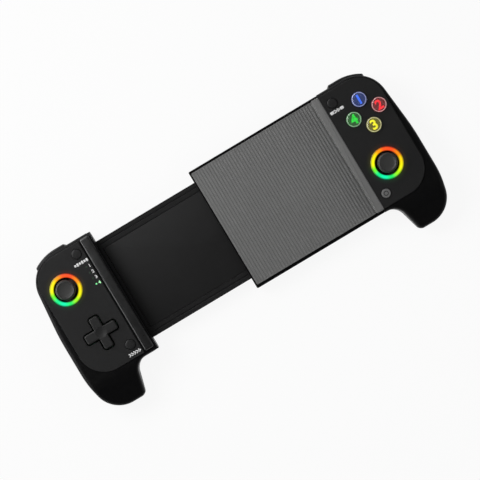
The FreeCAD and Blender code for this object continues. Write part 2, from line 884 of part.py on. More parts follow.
def stick(side, prefix, x, y):
    """One thumb stick: its box, yoke, rocker, shaft and rubber cap."""
    centre = f"{side} * ({x})"
    half = "stick_box / 2"
    top = "board_high + stick_box_height"
    shell = box(f"{prefix}_box_block", (f"{centre} - {half}", f"{centre} + {half}"),
                (f"{y} - {half}", f"{y} + {half}"), ("board_high", top))
    inside = "stick_box / 2 - stick_box_wall"
    hollow = box(f"{prefix}_box_hollow", (f"{centre} - ({inside})", f"{centre} + {inside}"),
                 (f"{y} - ({inside})", f"{y} + {inside}"), ("board_high + 0.6", f"{top} + 1"))
    bearing = rod(f"{prefix}_box_bearing", f"{centre} - {half} - 1", y, "pivot_z",
                  "yoke_pin_radius + shaft_fit", "stick_box + 2", "x")
    keep(cut(f"{prefix}_box_shape", shell, hollow, bearing), f"{prefix}_base")

    yoke_x = (f"{centre} - yoke_length / 2", f"{centre} + yoke_length / 2")
    yoke_y = (f"{y} - yoke_width / 2", f"{y} + yoke_width / 2")
    yoke_z = ("pivot_z - yoke_thick / 2", "pivot_z + yoke_thick / 2")
    frame = box(f"{prefix}_yoke_block", yoke_x, yoke_y, yoke_z)
    axle = rod(f"{prefix}_yoke_axle", f"{centre} - {half} + end_gap", y, "pivot_z", "yoke_pin_radius",
               "stick_box - 2 * end_gap", "x")
    room = "rocker_size / 2 + rocker_room"
    window = box(f"{prefix}_yoke_window", (f"{centre} - ({room})", f"{centre} + {room}"),
                 (f"{y} - ({room})", f"{y} + {room}"), ("pivot_z - 2", "pivot_z + 2"))
    bore = rod(f"{prefix}_yoke_bore", centre, f"{y} - yoke_width / 2 - 1", "pivot_z",
               "yoke_pin_radius + shaft_fit", "yoke_width + 2", "y")
    solid_yoke = fuse(f"{prefix}_yoke_all", frame, axle)
    keep(cut(f"{prefix}_yoke_shape", solid_yoke, window, bore), f"{prefix}_yoke")

    block = box(f"{prefix}_rocker_block", (f"{centre} - rocker_size / 2", f"{centre} + rocker_size / 2"),
                (f"{y} - rocker_size / 2", f"{y} + rocker_size / 2"), yoke_z)
    pins = rod(f"{prefix}_rocker_pins", centre, f"{y} - yoke_width / 2 + 0.2", "pivot_z", "yoke_pin_radius",
               "yoke_width - 0.4", "y")
    guide = rod(f"{prefix}_rocker_guide", centre, y, "pivot_z - 3", "shaft_radius + shaft_fit", "6")
    solid_rocker = fuse(f"{prefix}_rocker_all", block, pins)
    keep(cut(f"{prefix}_rocker_shape", solid_rocker, guide), f"{prefix}_rocker")

    seat = "face_z + cap_lift"
    shaft = turned(f"{prefix}_shaft_body", [
        ("0", "pivot_z - yoke_thick / 2"),
        ("shaft_radius", "pivot_z - yoke_thick / 2"),
        ("shaft_radius", "pivot_z + ball_radius - 2.6"),
        ("neck_radius + 1.8", "pivot_z + ball_radius - 2.6"),
        ("neck_radius + 1.2", "pivot_z + ball_radius - 1.2"),
        ("neck_radius", "pivot_z + ball_radius"),
        ("neck_radius", f"{seat} + 1"),
        ("0", f"{seat} + 1"),
    ])
    move(shaft, centre, y)
    keep(shaft, f"{prefix}_shaft")

    cap = turned(f"{prefix}_cap_body", [
        ("neck_radius", f"{seat} - 0.8"),
        ("neck_radius + 1", f"{seat} - 0.8"),
        ("cap_diameter / 2 - 0.5", seat),
        ("cap_diameter / 2", f"{seat} + 0.6"),
        ("cap_diameter / 2", f"{seat} + cap_height - 0.7"),
        ("cap_diameter / 2 - 0.7", f"{seat} + cap_height"),
        ("cap_dish / 2 + 0.5", f"{seat} + cap_height"),
        ("cap_dish / 2", f"{seat} + cap_height - 0.3"),
        ("cap_dish / 4", f"{seat} + cap_height - 0.75"),
        ("0", f"{seat} + cap_height - 0.85"),
        ("0", f"{seat} + 1"),
        ("neck_radius", f"{seat} + 1"),
    ])
    move(cap, centre, y)
    keep(cap, f"{prefix}_cap")

    ring = cut(f"{prefix}_ring_shape",
               rod(f"{prefix}_ring_disc", centre, y, "panel_seat", "ring_outer / 2",
                   "panel_thick + ring_proud"),
               rod(f"{prefix}_ring_bore", centre, y, "panel_seat - 1", "stick_bore / 2", "panel_thick + 3"))
    crowned = rounded(f"{prefix}_ring_crown", ring, "ring_proud", flat_at("face_z + ring_proud"))
    keep(crowned, f"{prefix}_light_ring")


def face_cuts(side, name, x, y):
    """Openings of a face: the stick's well and its ring's seat."""
    well = rod(f"{name}_well", f"{side} * ({x})", y, "roof_under - 1", "stick_bore / 2", "6")
    seat = rod(f"{name}_ring_seat", f"{side} * ({x})", y, "panel_seat", "ring_outer / 2 + end_gap", "4")
    return well, seat


def case(side, name, inner, stick_x, stick_y):
    """Front shell, back shell, face panel and screws of one case."""
    plan, profile, blank = case_blank(side, name, inner)
    inner_wall = "lip_depth + inner_wall" if side == LEFT else "inner_wall"
    plan_inside = offset(f"{name}_plan_in", plan, "-wall")
    hollow_plan = extrude(f"{name}_hollow_plan", plan_inside, "-1", "front_z + 1")
    hollow_x = span(side, f"{inner} + {inner_wall}", "outer_x + 1")
    hollow_side = extrude(f"{name}_hollow_side", offset(f"{name}_profile_in", profile, "-wall"),
                          hollow_x[0], hollow_x[1], (1, 0, 0))
    shielded = cut(f"{name}_hollow_free", common(f"{name}_hollow", hollow_plan, hollow_side),
                   shoulder_recess(side, f"{name}_shield", "wall * 0.7"))
    places = [(f"{side} * ({x})", y) for x, y in screw_places(name, inner)]
    bosses = []
    bores = []
    for index, (x, y) in enumerate(places, start=1):
        bosses.append(rod(f"{name}_boss_low_{index}", x, y, "-2", "head_radius + head_room + boss_wall",
                          "parting + 2"))
        bosses.append(rod(f"{name}_boss_high_{index}", x, y, "parting", "screw_radius + boss_wall",
                          "front_z - parting"))
        bores.append(rod(f"{name}_bore_{index}", x, y, "0", "screw_radius + screw_fit", "screw_end + 0.3"))
        bores.append(rod(f"{name}_head_bore_{index}", x, y, "-2", "head_radius + head_room",
                         "screw_seat + 2"))
    pin_boss = span(side, "shoulder_start - shoulder_clear - pin_wall", "shoulder_start - shoulder_clear")
    bosses.append(rod(f"{name}_pin_boss", pin_boss[0], "trigger_pin_y", "trigger_pin_z", "pin_boss_radius",
                      "pin_wall", "x"))
    bossed = cut(f"{name}_hollow_bossed", shielded, *bosses)
    hollow = fuse(f"{name}_hollow_all", bossed, *button_wells(side, name))
    shell = cut(f"{name}_shell", blank, hollow, shoulder_recess(side, f"{name}_open", "0"), *bores,
                shoulder_pin(side, f"{name}_bumper_pin_bore", "bumper", "screw_fit"),
                shoulder_pin(side, f"{name}_trigger_pin_bore", "trigger", "screw_fit"))

    everything_x = span(side, f"{inner} - 5", "outer_x + 5")
    everything_y = ("-top_y - 5", "top_y + 5")
    above = box(f"{name}_above", everything_x, everything_y, ("parting", "front_z + 5"))
    below = box(f"{name}_below", everything_x, everything_y, ("-5", "parting"))

    panel_seat = extrude(f"{name}_panel_seat",
                         outline(f"{name}_panel_seat_plan", panel_corners("panel_groove", name), side),
                         "panel_seat", "front_z + 1")
    well, ring_seat = face_cuts(side, name, stick_x, stick_y)
    openings = [panel_seat, well] + button_holes(side, "shell")
    panel_openings = [ring_seat] + button_holes(side, "panel")
    if side == LEFT:
        openings += left_front_cuts()
        panel_openings += left_panel_cuts()
    front = cut(f"{name}_front_shape", common(f"{name}_front_half", shell, above), *openings)
    keep(front, f"{name}_front_shell")

    passage = left_passage() if side == LEFT else right_passage()
    reveal = cut(f"{name}_reveal", extrude(f"{name}_reveal_out", offset(f"{name}_plan_out", plan, "1"),
                                           "parting - reveal_height", "parting + 0.1"),
                 extrude(f"{name}_reveal_in", offset(f"{name}_plan_step", plan, "-reveal_depth"),
                         "parting - 1", "parting + 1"))
    back = cut(f"{name}_back_shape", common(f"{name}_back_half", shell, below), passage, reveal)
    keep(back, f"{name}_back_shell")

    panel = extrude(f"{name}_panel_blank", outline(f"{name}_panel_plan", panel_corners("0", name), side),
                    "panel_seat", "face_z")
    eased = rounded(f"{name}_panel_eased", panel, "0.3", flat_at("face_z"))
    keep(cut(f"{name}_panel_shape", eased, *panel_openings), f"{name}_face_panel")
    screws(f"{name}_case_screws", places, "screw_seat", "screw_end")


def shoulder_pin(side, name, which, extra):
    """The pin that a bumper or a trigger turns on, or its bore when made wider."""
    if which == "bumper":
        return rod(name, f"{side} * (bumper_pin_x)", "bumper_pin_y", "parting + 0.4",
                   f"bumper_pin_radius + {extra}", "recess_top - parting + 0.8")
    start = span(side, "shoulder_start - shoulder_clear - pin_wall + 0.6",
                 "shoulder_start + trigger_pin_length")
    return rod(name, start[0], "trigger_pin_y", "trigger_pin_z", f"trigger_pin_radius + {extra}",
               f"({start[1]}) - ({start[0]})", "x")


def shoulder_pieces(side, name):
    """Bumper, trigger, their pins and the trigger's return spring."""
    plan = shoulder_outline(f"{name}_band", side, value("shoulder_start"), value("shoulder_end"),
                            value("shoulder_inner_y"), band_end_inner(), 0)

    bumper = extrude(f"{name}_bumper_blank", plan, "bumper_low", "bumper_high")
    bumper_bore = shoulder_pin(side, f"{name}_bumper_bore", "bumper", "pin_fit")
    eased = rounded(f"{name}_bumper_eased", bumper, "shoulder_round_edge",
                    lambda edge: outer_edge(edge, side))
    keep(cut(f"{name}_bumper_shape", eased, bumper_bore), f"{name}_bumper")

    trigger = extrude(f"{name}_trigger_blank", plan, "trigger_low", "trigger_high")
    softened = rounded(f"{name}_trigger_eased", trigger, "shoulder_round_edge * 1.4",
                       lambda edge: outer_edge(edge, side))
    trigger_bore = shoulder_pin(side, f"{name}_trigger_bore", "trigger", "pin_fit")
    fall = "2 * shoulder_band * tan(trigger_swing + trigger_swing_room)"
    relief_corners = [
        ("trigger_pin_y", "trigger_high", "0"),
        ("trigger_pin_y", "parting", "0"),
        ("trigger_pin_y - 2 * shoulder_band", "parting", "0"),
        ("trigger_pin_y - 2 * shoulder_band", f"trigger_high - {fall}", "0"),
    ]
    relief_x = span(side, "shoulder_start - 1", "shoulder_end + 1")
    relief = extrude(f"{name}_trigger_relief", outline(f"{name}_relief_profile", relief_corners, plane="yz"),
                     relief_x[0], relief_x[1], (1, 0, 0))
    keep(cut(f"{name}_trigger_shape", softened, trigger_bore, relief), f"{name}_trigger")

    pins = group(f"{name}_shoulder_pins_group",
                 shoulder_pin(side, f"{name}_bumper_pin", "bumper", "0"),
                 shoulder_pin(side, f"{name}_trigger_pin", "trigger", "0"))
    keep(pins, f"{name}_shoulder_pins")
    trigger_spring(side, name)


def outer_edge(edge, side):
    """A test for the edges of a shoulder piece that face outwards."""
    centre = Vector(side * value("shoulder_centre"), value("shoulder_y"), 0)
    limit = value("shoulder_bow") - 0.01
    for vertex in edge.Vertexes:
        point = vertex.Point
        beyond = side * (point.x - centre.x) > 0
        reach = Vector(point.x - centre.x, point.y - centre.y, 0).Length if beyond else point.y - centre.y
        if reach < limit:
            return False
    return True


def trigger_spring(side, name):
    """A small helical spring between the case and the trigger."""
    gap = value("trigger_back_room")
    wire = value("spring_wire")
    turns = value("spring_turns")
    length = gap - wire - 2 * value("pin_fit")
    helix = Part.makeHelix(length / turns, length, value("spring_radius"))
    start = helix.Vertexes[0].Point
    ring = Part.Wire(Part.Circle(start, Vector(0, 1, 0.08), wire / 2).toShape())
    coil = Part.Wire(helix.Edges).makePipeShell([ring], True, True)
    item = doc.addObject("Part::Feature", f"{name}_spring_shape")
    item.Shape = coil
    item.Placement = FreeCAD.Placement(
        Vector(side * value("shoulder_start + spring_inset"),
               value("shoulder_inner_y - trigger_back_room + pin_fit") + wire / 2,
               value("trigger_low + spring_lift")),
        FreeCAD.Rotation(Vector(1, 0, 0), -90))
    keep(item, f"{name}_trigger_spring")


def clamp_bar_block(name, low, high):
    """The clamp bar's long form between two heights."""
    x = span(LEFT, "left_inner + clamp_bar_inset", "left_inner + clamp_bar_inset + clamp_bar_width")
    y = ("case_bottom + bar_end_bottom", "case_top - bar_end_top")
    return plan_box(name, x, y, (low, high), "clamp_bar_corner")


def pad_and_light_cuts(name):
    """Openings for the directional pad and the indicator lights."""
    cross = cross_shape(f"{name}_cross", "-cross_x", "cross_y", "cross_span + 2 * cross_gap",
                        "cross_arm + 2 * cross_gap", "roof_under - 1", "face_z + 1",
                        "cross_corner + cross_gap")
    holes = [rod(f"{name}_light_{index}", "-led_x", light_y, "roof_under - 1", "led_radius + pin_fit", "5")
             for index, light_y in enumerate(light_places())]
    return [cross] + holes


def left_front_cuts():
    """Cuts of the sliding case's front: clamp bar seat, phone stop room, pad opening, lights, socket."""
    seat = clamp_bar_block("clamp_bar_seat", "front_z - clamp_bar_foot", "front_z + 1")
    stop_room = box("phone_stop_room", span(LEFT, "left_inner - 1", "left_inner + lip_depth"),
                    ("case_bottom - 1", "case_top + 1"), ("bracket_top + stop_room_lift", "lip_under"))
    port = port_block("port_opening", "end_gap", "2")
    return [seat, stop_room, port] + pad_and_light_cuts("front")


def left_panel_cuts():
    """Cuts of the sliding case's panel: pad opening and lights."""
    return pad_and_light_cuts("panel")


def left_passage():
    """Where the slide plate enters the sliding case."""
    return box("slide_passage", span(LEFT, "left_inner - 1", "left_inner + lip_depth + 3"),
               ("slide_bottom - 0.1", "slide_top + 0.1"), ("slide_low - 0.1", "slide_high + 0.1"))


def right_passage():
    """Where the bracket's tongue enters the fixed case."""
    return box("tongue_passage", span(RIGHT, "right_inner - 1", "right_inner + 3"),
               ("slide_bottom - slide_gap", "slide_top + slide_gap"), ("bracket_lift - 0.1", "parting + 1"))


def port_block(name, gap, past):
    """The charging socket's outer form, made wider by a gap for its opening."""
    half = f"port_width / 2 + {gap}"
    return box(name, (f"-port_x - ({half})", f"-port_x + {half}"),
               (f"case_bottom - {past}", f"case_bottom + port_depth + {gap}"),
               (f"board_high - {gap}", f"board_high + port_height + {gap}"))


def charging_port():
    """The charging socket: a metal shell with a tongue inside."""
    shell = port_block("port_shell", "0", "0")
    half = "port_width / 2 - port_wall"
    mouth = box("port_mouth", (f"-port_x - ({half})", f"-port_x + {half}"),
                ("case_bottom - 1", "case_bottom + port_depth - 1"),
                ("board_high + port_wall", "board_high + port_height - port_wall"))
    tongue_half = "port_width / 2 - port_tongue_side"
    level = "board_high + port_height / 2"
    tongue = box("port_tongue", (f"-port_x - ({tongue_half})", f"-port_x + {tongue_half}"),
                 ("case_bottom + port_tongue_set", "case_bottom + port_depth - 0.5"),
                 (f"{level} - port_tongue_thick / 2", f"{level} + port_tongue_thick / 2"))
    keep(fuse("port_shape", cut("port_hollow", shell, mouth), tongue), "charging_port")


def slide_plate():
    """The plate that telescopes: a rail on each edge and a recess that takes its cover."""
    start = "-(left_inner + slide_root)"
    end = "slide_reach - left_inner"
    recess_x = (f"{start} + slide_root + slide_recess_start", f"{end} - slide_recess_end")
    under = "slide_high - slide_panel_thick"
    blank = box("slide_blank", (start, end), ("slide_bottom", "slide_top"), ("slide_low", "slide_high"))
    recess = box("slide_recess", recess_x, ("slide_bottom + slide_rail", "slide_top - slide_rail"),
                 (f"{under} - 2", "slide_high + 1"))
    rib = box("slide_rib", recess_x, ("holder_middle - 1", "holder_middle + 1"), (f"{under} - 2.1", under))
    grooves = [box(f"slide_groove_{index}", (recess_x[0], f"{end} + 1"),
                   (f"{y} - slide_groove / 2", f"{y} + slide_groove / 2"),
                   ("slide_high - slide_groove_depth", "slide_high + 1"))
               for index, y in enumerate(("slide_bottom + slide_rail / 2", "slide_top - slide_rail / 2"))]
    frame = fuse("slide_ribbed", cut("slide_open", blank, recess, *grooves), rib)
    holes = [rod(f"slide_hole_{index}", x, y, "slide_low - 1", "screw_radius + screw_fit", "slide_thick + 2")
             for index, (x, y) in enumerate(root_screw_places())]
    keep(cut("slide_shape", frame, *holes), "slide_plate")

    cover = plan_box("slide_cover_shape", (f"{recess_x[0]} + end_gap", f"{recess_x[1]} - end_gap"),
                     ("slide_bottom + slide_rail + end_gap", "slide_top - slide_rail - end_gap"),
                     (under, "slide_high - cover_sink"), "0.5")
    keep(cover, "slide_cover")


def root_screw_places():
    """Where the slide plate is screwed down inside the sliding case."""
    x = "-(left_inner + slide_root - root_screw_x)"
    return [(x, "slide_bottom + root_screw_y"), (x, "shoulder_back_start - root_screw_back")]


def slide_root_screws():
    """Screws and the bridge that hold the slide plate in the sliding case."""
    x = "left_inner + slide_root - root_screw_x"
    bridge = box("bridge_block", span(LEFT, f"{x} - bridge_half_width", f"{x} + bridge_half_width"),
                 ("slide_bottom + root_screw_y - bridge_end",
                  "shoulder_back_start - root_screw_back + bridge_end"),
                 ("wall", "slide_low"))
    holes = [rod(f"bridge_hole_{index}", hole_x, hole_y, "-1", "screw_radius + screw_fit", "slide_low + 2")
             for index, (hole_x, hole_y) in enumerate(root_screw_places())]
    keep(cut("bridge_shape", bridge, *holes), "slide_bridge")
    made = []
    tip = "wall + root_screw_lift"
    for index, (screw_x, screw_y) in enumerate(root_screw_places()):
        item = turned(f"root_screw_{index}", [
            ("0", tip),
            ("screw_radius", tip),
            ("screw_radius", "slide_high"),
            ("head_radius", "slide_high"),
            ("head_radius", "slide_high + head_thick * 0.6"),
            ("head_radius * 0.8", "slide_high + head_thick"),
            ("0", "slide_high + head_thick"),
        ])
        move(item, screw_x, screw_y)
        made.append(item)
    keep(group("root_screws_group", *made), "slide_screws")


def bracket():
    """Tray and cover that the slide plate runs in, with a tongue that enters the fixed case."""
    wide = ("-bracket_start", "right_inner")
    y = ("case_bottom", "case_top")
    tray_outer = plan_box("tray_outer", wide, y, ("bracket_lift", "tray_top"), "bracket_round")
    tongue_x = ("right_inner - 1", "tongue_end")
    tongue_y = ("tongue_bottom", "tongue_top")
    tray_tongue = box("tray_tongue", tongue_x, tongue_y, ("bracket_lift", "tray_top"))
    floor = "bracket_lift + tray_floor"
    channel = box("tray_channel", ("-bracket_start - 1", "tongue_end - tongue_wall"),
                  ("slide_bottom - slide_gap", "slide_top + slide_gap"), (floor, "tray_top + 1"))
    pocket_x = ("brake_place + brake_length + pocket_start", "right_inner - pocket_end")
    pocket_ys = [("case_bottom + tray_wall", "guide_bottom"), ("guide_top", "case_top - tray_wall")]
    pockets = [box(f"tray_pocket_{index}", pocket_x, pocket_y, (floor, "tray_top + 1"))
               for index, pocket_y in enumerate(pocket_ys)]
    places = bracket_screw_places()
    seat = "bracket_lift + head_thick + head_sink"
    bores = [rod(f"tray_bore_{index}", x, at, "0", "screw_radius + screw_fit", "tray_top + 2")
             for index, (x, at) in enumerate(places)]
    heads = [rod(f"tray_head_{index}", x, at, "0", "head_radius + head_room", seat)
             for index, (x, at) in enumerate(places)]
    brake_rooms = [box(f"brake_room_{index}", ("brake_place", "brake_place + brake_length"), room,
                       (floor, "tray_top + 1"))
                   for index, room in enumerate(brake_spans("end_gap"))]
    blank = fuse("tray_blank", tray_outer, tray_tongue)
    eased = rounded("tray_eased", blank, "bracket_round", flat_at("bracket_lift"))
    keep(cut("tray_shape", eased, channel, *pockets, *bores, *heads, *brake_rooms), "bracket_tray")

    cover_outer = plan_box("cover_outer", wide, y, ("tray_top", "bracket_top"), "bracket_round")
    cover_tongue = box("cover_tongue", tongue_x, tongue_y, ("tray_top", "bracket_top"))
    cover_blank = fuse("cover_blank", cover_outer, cover_tongue)
    cover_bores = [rod(f"cover_bore_{index}", x, at, "tray_top - 1", "screw_radius + screw_fit",
                       "cover_thick * 0.6 + 1.1") for index, (x, at) in enumerate(places)]
    keep(cut("cover_shape", cover_blank, *cover_bores), "bracket_cover")
    screws("bracket_screws", places, seat, "tray_top + cover_thick * 0.6")

    brakes = group("brakes_group", *[
        box(f"brake_{index}", ("brake_place + end_gap", "brake_place + brake_length - end_gap"), room,
            (floor, "tray_top")) for index, room in enumerate(brake_spans("0"))])
    keep(brakes, "slide_brakes")


def brake_spans(grow):
    """The Y stretches of the two friction pads beside the slide plate."""
    reach = f"slide_gap + brake_depth + {grow}"
    return [(f"slide_bottom - ({reach})", "slide_bottom - pin_fit"),
            ("slide_top + pin_fit", f"slide_top + {reach}")]


def bracket_screw_places():
    """Where the bracket's screws stand."""
    low = "case_bottom + tray_wall + bracket_screw_y"
    high = "case_top - tray_wall - bracket_screw_y"
    near = "bracket_screw_x - bracket_start"
    far = "right_inner - bracket_screw_x - 1"
    return [(near, low), (near, high), (far, low), (far, high)]


def phone_pad():
    """The ribbed rubber sheet, and the smooth stop bar at its end."""
    x = ("-bracket_start + pad_margin_left", "right_inner - stop_bar_width")
    y = ("case_bottom + pad_margin_bottom", "case_top - pad_margin_top")
    body = doc.addObject("PartDesign::Body", "pad_body")
    base = pad_block(body, "pad_base", x, y, "0", "pad_thick")
    rib_x = (f"{x[0]} + rib_pitch / 2 - rib_width / 2", f"{x[0]} + rib_pitch / 2 + rib_width / 2")
    rib_y = (f"{y[0]} + rib_end", f"{y[1]} - rib_end")
    rib = pad_block(body, "pad_rib", rib_x, rib_y, "pad_thick", "rib_height")
    doc.recompute()
    pattern = body.newObject("PartDesign::LinearPattern", "pad_ribs")
    pattern.Originals = [rib]
    pattern.Direction = (base.Profile[0], ["H_Axis"])
    count = f"floor((({x[1]}) - ({x[0]})) / rib_pitch)"
    pattern.Occurrences = int(value(count))
    bind(pattern, Length=f"({count} - 1) * rib_pitch")
    body.Tip = pattern
    move(body, z="bracket_top")
    keep(body, "phone_pad")

    bar = plan_box("stop_bar_blank", (x[1], "right_inner"), y, ("bracket_top", "stop_bar_top"), "0.8")
    keep(rounded("stop_bar_shape", bar, "stop_bar_round", flat_at("stop_bar_top")), "right_stop_bar")


def pad_block(body, name, x, y, low, thick):
    """A rectangle drawn in a body's own plane and raised."""
    sketch = body.newObject("Sketcher::SketchObject", name + "_sketch")
    plane = [item for item in body.Origin.OriginFeatures if item.Role == "XY_Plane"][0]
    sketch.AttachmentSupport = [(plane, "")]
    sketch.MapMode = "FlatFace"
    bind(sketch, AttachmentOffset__Base__z=low)
    corners = [(x[0], y[0]), (x[1], y[0]), (x[1], y[1]), (x[0], y[1])]
    numbers = [(value(a), value(b)) for a, b in corners]
    for index in range(4):
        start = Vector(*numbers[index], 0)
        end = Vector(*numbers[(index + 1) % 4], 0)
        sketch.addGeometry(Part.LineSegment(start, end))
    for index in range(4):
        sketch.addConstraint(Sketcher.Constraint("Coincident", index, 2, (index + 1) % 4, 1))
    for index, (a, b) in enumerate(corners):
        for kind, number, text in (("DistanceX", numbers[index][0], a),
                                   ("DistanceY", numbers[index][1], b)):
            place = sketch.addConstraint(Sketcher.Constraint(kind, -1, 1, index, 1, number))
            label = f"{kind.lower()}_{index}"
            sketch.renameConstraint(place, label)
            sketch.setExpression("Constraints." + label, bound(text))
    raised = body.newObject("PartDesign::Pad", name)
    raised.Profile = sketch
    bind(raised, Length=thick)
    body.Tip = raised
    return raised


def clamp_pieces():
    """Rubber bar on top of the sliding case and the stop that the phone's end meets."""
    bar = clamp_bar_block("clamp_bar_blank", "front_z - clamp_bar_foot", "front_z + clamp_bar_rise")
    keep(rounded("clamp_bar_shape", bar, "clamp_bar_round", flat_at("front_z + clamp_bar_rise")),
         "left_clamp_bar")
    stop_x = span(LEFT, "left_inner + lip_depth - phone_stop_thick", "left_inner + lip_depth")
    stop = box("phone_stop_shape", stop_x, ("case_bottom + bar_end_bottom", "case_top - bar_end_top"),
               ("bracket_top + stop_lift", "lip_under"))
    keep(stop, "left_phone_stop")


def post_spans(centre):
    """The two stretches that a pair of posts or ears takes, on either side of a centre."""
    return [(f"{centre} - post_place - post_thick / 2", f"{centre} - post_place + post_thick / 2"),
            (f"{centre} + post_place - post_thick / 2", f"{centre} + post_place + post_thick / 2")]


def directional_pad():
    """The cross, the spider that it rocks on and the frame that carries the spider."""
    x = "-cross_x"
    y = "cross_y"
    top = "face_z + cross_rise"
    across_x = (f"{x} - post_width / 2", f"{x} + post_width / 2")
    across_y = (f"{y} - post_width / 2", f"{y} + post_width / 2")
    blank = cross_shape("cross_blank", x, y, "cross_span", "cross_arm", f"{top} - cross_thick", top,
                        "cross_corner")
    eased = rounded("cross_eased", blank, "cross_round", flat_at(top))
    dish = ball("cross_dish", x, y, f"{top} + dish_radius - dish_depth", "dish_radius")
    ears = [box(f"cross_ear_{index}", across_x, ear_y,
                ("spider_z - spider_pin_radius - ear_below", f"{top} - cross_thick + 0.5"))
            for index, ear_y in enumerate(post_spans(y))]
    bore = rod("cross_bore", x, f"{y} - post_place - 2", "spider_z", "spider_pin_radius + pin_fit",
               "post_place * 2 + 4", "y")
    eared = fuse("cross_eared", cut("cross_dished", eased, dish), *ears)
    keep(cut("cross_shape", eared, bore), "direction_pad")

    reach = "post_place + post_thick / 2 + spider_end"
    hub = "spider_pin_radius * 1.5"
    hub_height = "spider_pin_radius * 1.3"
    length = f"({reach}) * 2"
    spider = fuse("spider_shape",
                  rod("spider_x", f"{x} - ({reach})", y, "spider_z", "spider_pin_radius", length, "x"),
                  rod("spider_y", x, f"{y} - ({reach})", "spider_z", "spider_pin_radius", length, "y"),
                  box("spider_hub", (f"{x} - {hub}", f"{x} + {hub}"), (f"{y} - {hub}", f"{y} + {hub}"),
                      (f"spider_z - {hub_height}", f"spider_z + {hub_height}")))
    keep(spider, "direction_spider")

    foot = box("post_foot", (f"{x} - ({reach}) - spider_end", f"{x} + {reach} + spider_end"), across_y,
               ("board_high", "board_high + 1"))
    posts = [box(f"post_{index}", post_x, across_y,
                 ("board_high", "spider_z + spider_pin_radius + post_above"))
             for index, post_x in enumerate(post_spans(x))]
    bearing = rod("post_bore", f"{x} - post_place - 2", y, "spider_z", "spider_pin_radius + pin_fit",
                  "post_place * 2 + 4", "x")
    keep(cut("post_shape", fuse("post_frame", foot, *posts), bearing), "direction_frame")


def light_places():
    """Y of each indicator light."""
    return [f"led_top_y - {index} * led_step" for index in range(4)]


def lights():
    """Four indicator lenses in a row."""
    height = "face_z - roof_under + pin_fit"
    made = [rod(f"light_{index}", "-led_x", light_y, "roof_under", "led_radius", height)
            for index, light_y in enumerate(light_places())]
    keep(group("lights_group", *made), "indicator_lenses")


def boards():
    """The circuit board of each case."""
    right_corners = [
        ("board_inner", "board_bottom", "0.5"),
        ("board_outer", "board_bottom", "0.5"),
        ("board_outer", "mat_low_y", "0"),
        ("board_outer + 5", "mat_low_y", "0.5"),
        ("board_outer + 5", "mat_low_y + 15", "0.5"),
        ("board_outer - 4", "board_top", "0.5"),
        ("board_neck", "board_top", "0"),
        ("board_neck", "board_tip", "0.5"),
        ("board_inner", "board_tip", "0.5"),
    ]
    right_plan = outline("right_board_plan", right_corners)
    keep(extrude("right_board_shape", right_plan, "board_low", "board_high"), "right_board")
    left_corners = [
        ("left_inner + 4", "case_bottom + 3", "0"),
        ("left_board_inner", "case_bottom + 3", "0"),
        ("left_board_inner", "board_bottom", "0.5"),
        ("board_outer", "board_bottom", "0.5"),
        ("board_outer", "board_top - 3.5", "0.5"),
        ("board_outer - 4", "board_top", "0.5"),
        ("board_neck", "board_top", "0"),
        ("board_neck", "board_tip", "0.5"),
        ("left_panel_edge", "board_tip", "0.5"),
        ("left_panel_edge", "port_board_top", "0"),
        ("left_inner + 4", "port_board_top", "0.5"),
    ]
    left_plan = outline("left_board_plan", left_corners, LEFT)
    keep(extrude("left_board_shape", left_plan, "board_low", "board_high"), "left_board")


def mat_sheet(name, x, y, edge="mat_corner"):
    """A flat piece of a dome sheet on the board."""
    return plan_box(name, x, y, ("board_high", "mat_high"), edge)


def mats():
    """Rubber dome sheets on the boards."""
    high = domes(RIGHT, ["button_top", "button_right", "button_bottom", "button_left", "button_start"])
    sheet_solid = mat_sheet("right_mat_sheet", ("mat_inner", "mat_outer"), ("mat_low_y", "mat_high_y"), "1")
    strip = mat_sheet("right_mat_strip", ("start_x - 2.8", "start_x + 0.6"),
                      ("mat_high_y - 1", "start_y + 2.4"))
    bridge = mat_sheet("right_mat_bridge", ("start_x - 0.4", "face_cross_x - 5"),
                       ("mat_high_y - 1", "mat_high_y"), "0")
    low = mat_sheet("right_mat_low", ("home_x - 2.8", "home_x + 2"), ("home_y - 1.8", "home_y + 3.1"))
    keep(group("right_mat_group", fuse("right_mat_all", sheet_solid, strip, bridge, *high),
               fuse("right_mat_home", low, *domes(RIGHT, ["button_home"]))), "right_dome_mat")
    top = mat_sheet("left_mat_top", ("-select_x - 1.2", "-select_x + 3.8"),
                    ("select_y - 4", "select_y + 1.4"))
    bottom = mat_sheet("left_mat_bottom", ("-turbo_x - 3", "-turbo_x + 2.7"),
                       ("turbo_y - 3", "turbo_y + 3.4"))
    keep(group("left_mat_group", fuse("left_mat_upper", top, *domes(LEFT, ["button_select"])),
               fuse("left_mat_lower", bottom, *domes(LEFT, ["button_turbo"]))), "left_dome_mat")


def inside_parts():
    """Battery and rumble motors."""
    outer = "outer_x - wall - battery_side_room"
    x = span(LEFT, f"{outer} - battery_width", outer)
    battery = plan_box("battery_shape", x, ("battery_low_y", "screw_shoulder_y - battery_screw_gap"),
                       ("wall + battery_lift", "wall + battery_lift + battery_thick"), "battery_round")
    keep(battery, "battery")
    axis_z = "wall + motor_radius + motor_lift"
    for side, name in ((LEFT, "left"), (RIGHT, "right")):
        centre = f"{side} * (outer_x - motor_side)"
        can = rod(f"{name}_motor_can", centre, "motor_low_y + motor_shaft_reach", axis_z, "motor_radius",
                  "motor_length", "y")
        shaft = rod(f"{name}_motor_shaft", centre, "motor_low_y", axis_z, "motor_shaft_radius",
                    "motor_length", "y")
        keep(fuse(f"{name}_motor_shape", can, shaft), f"{name}_rumble_motor")


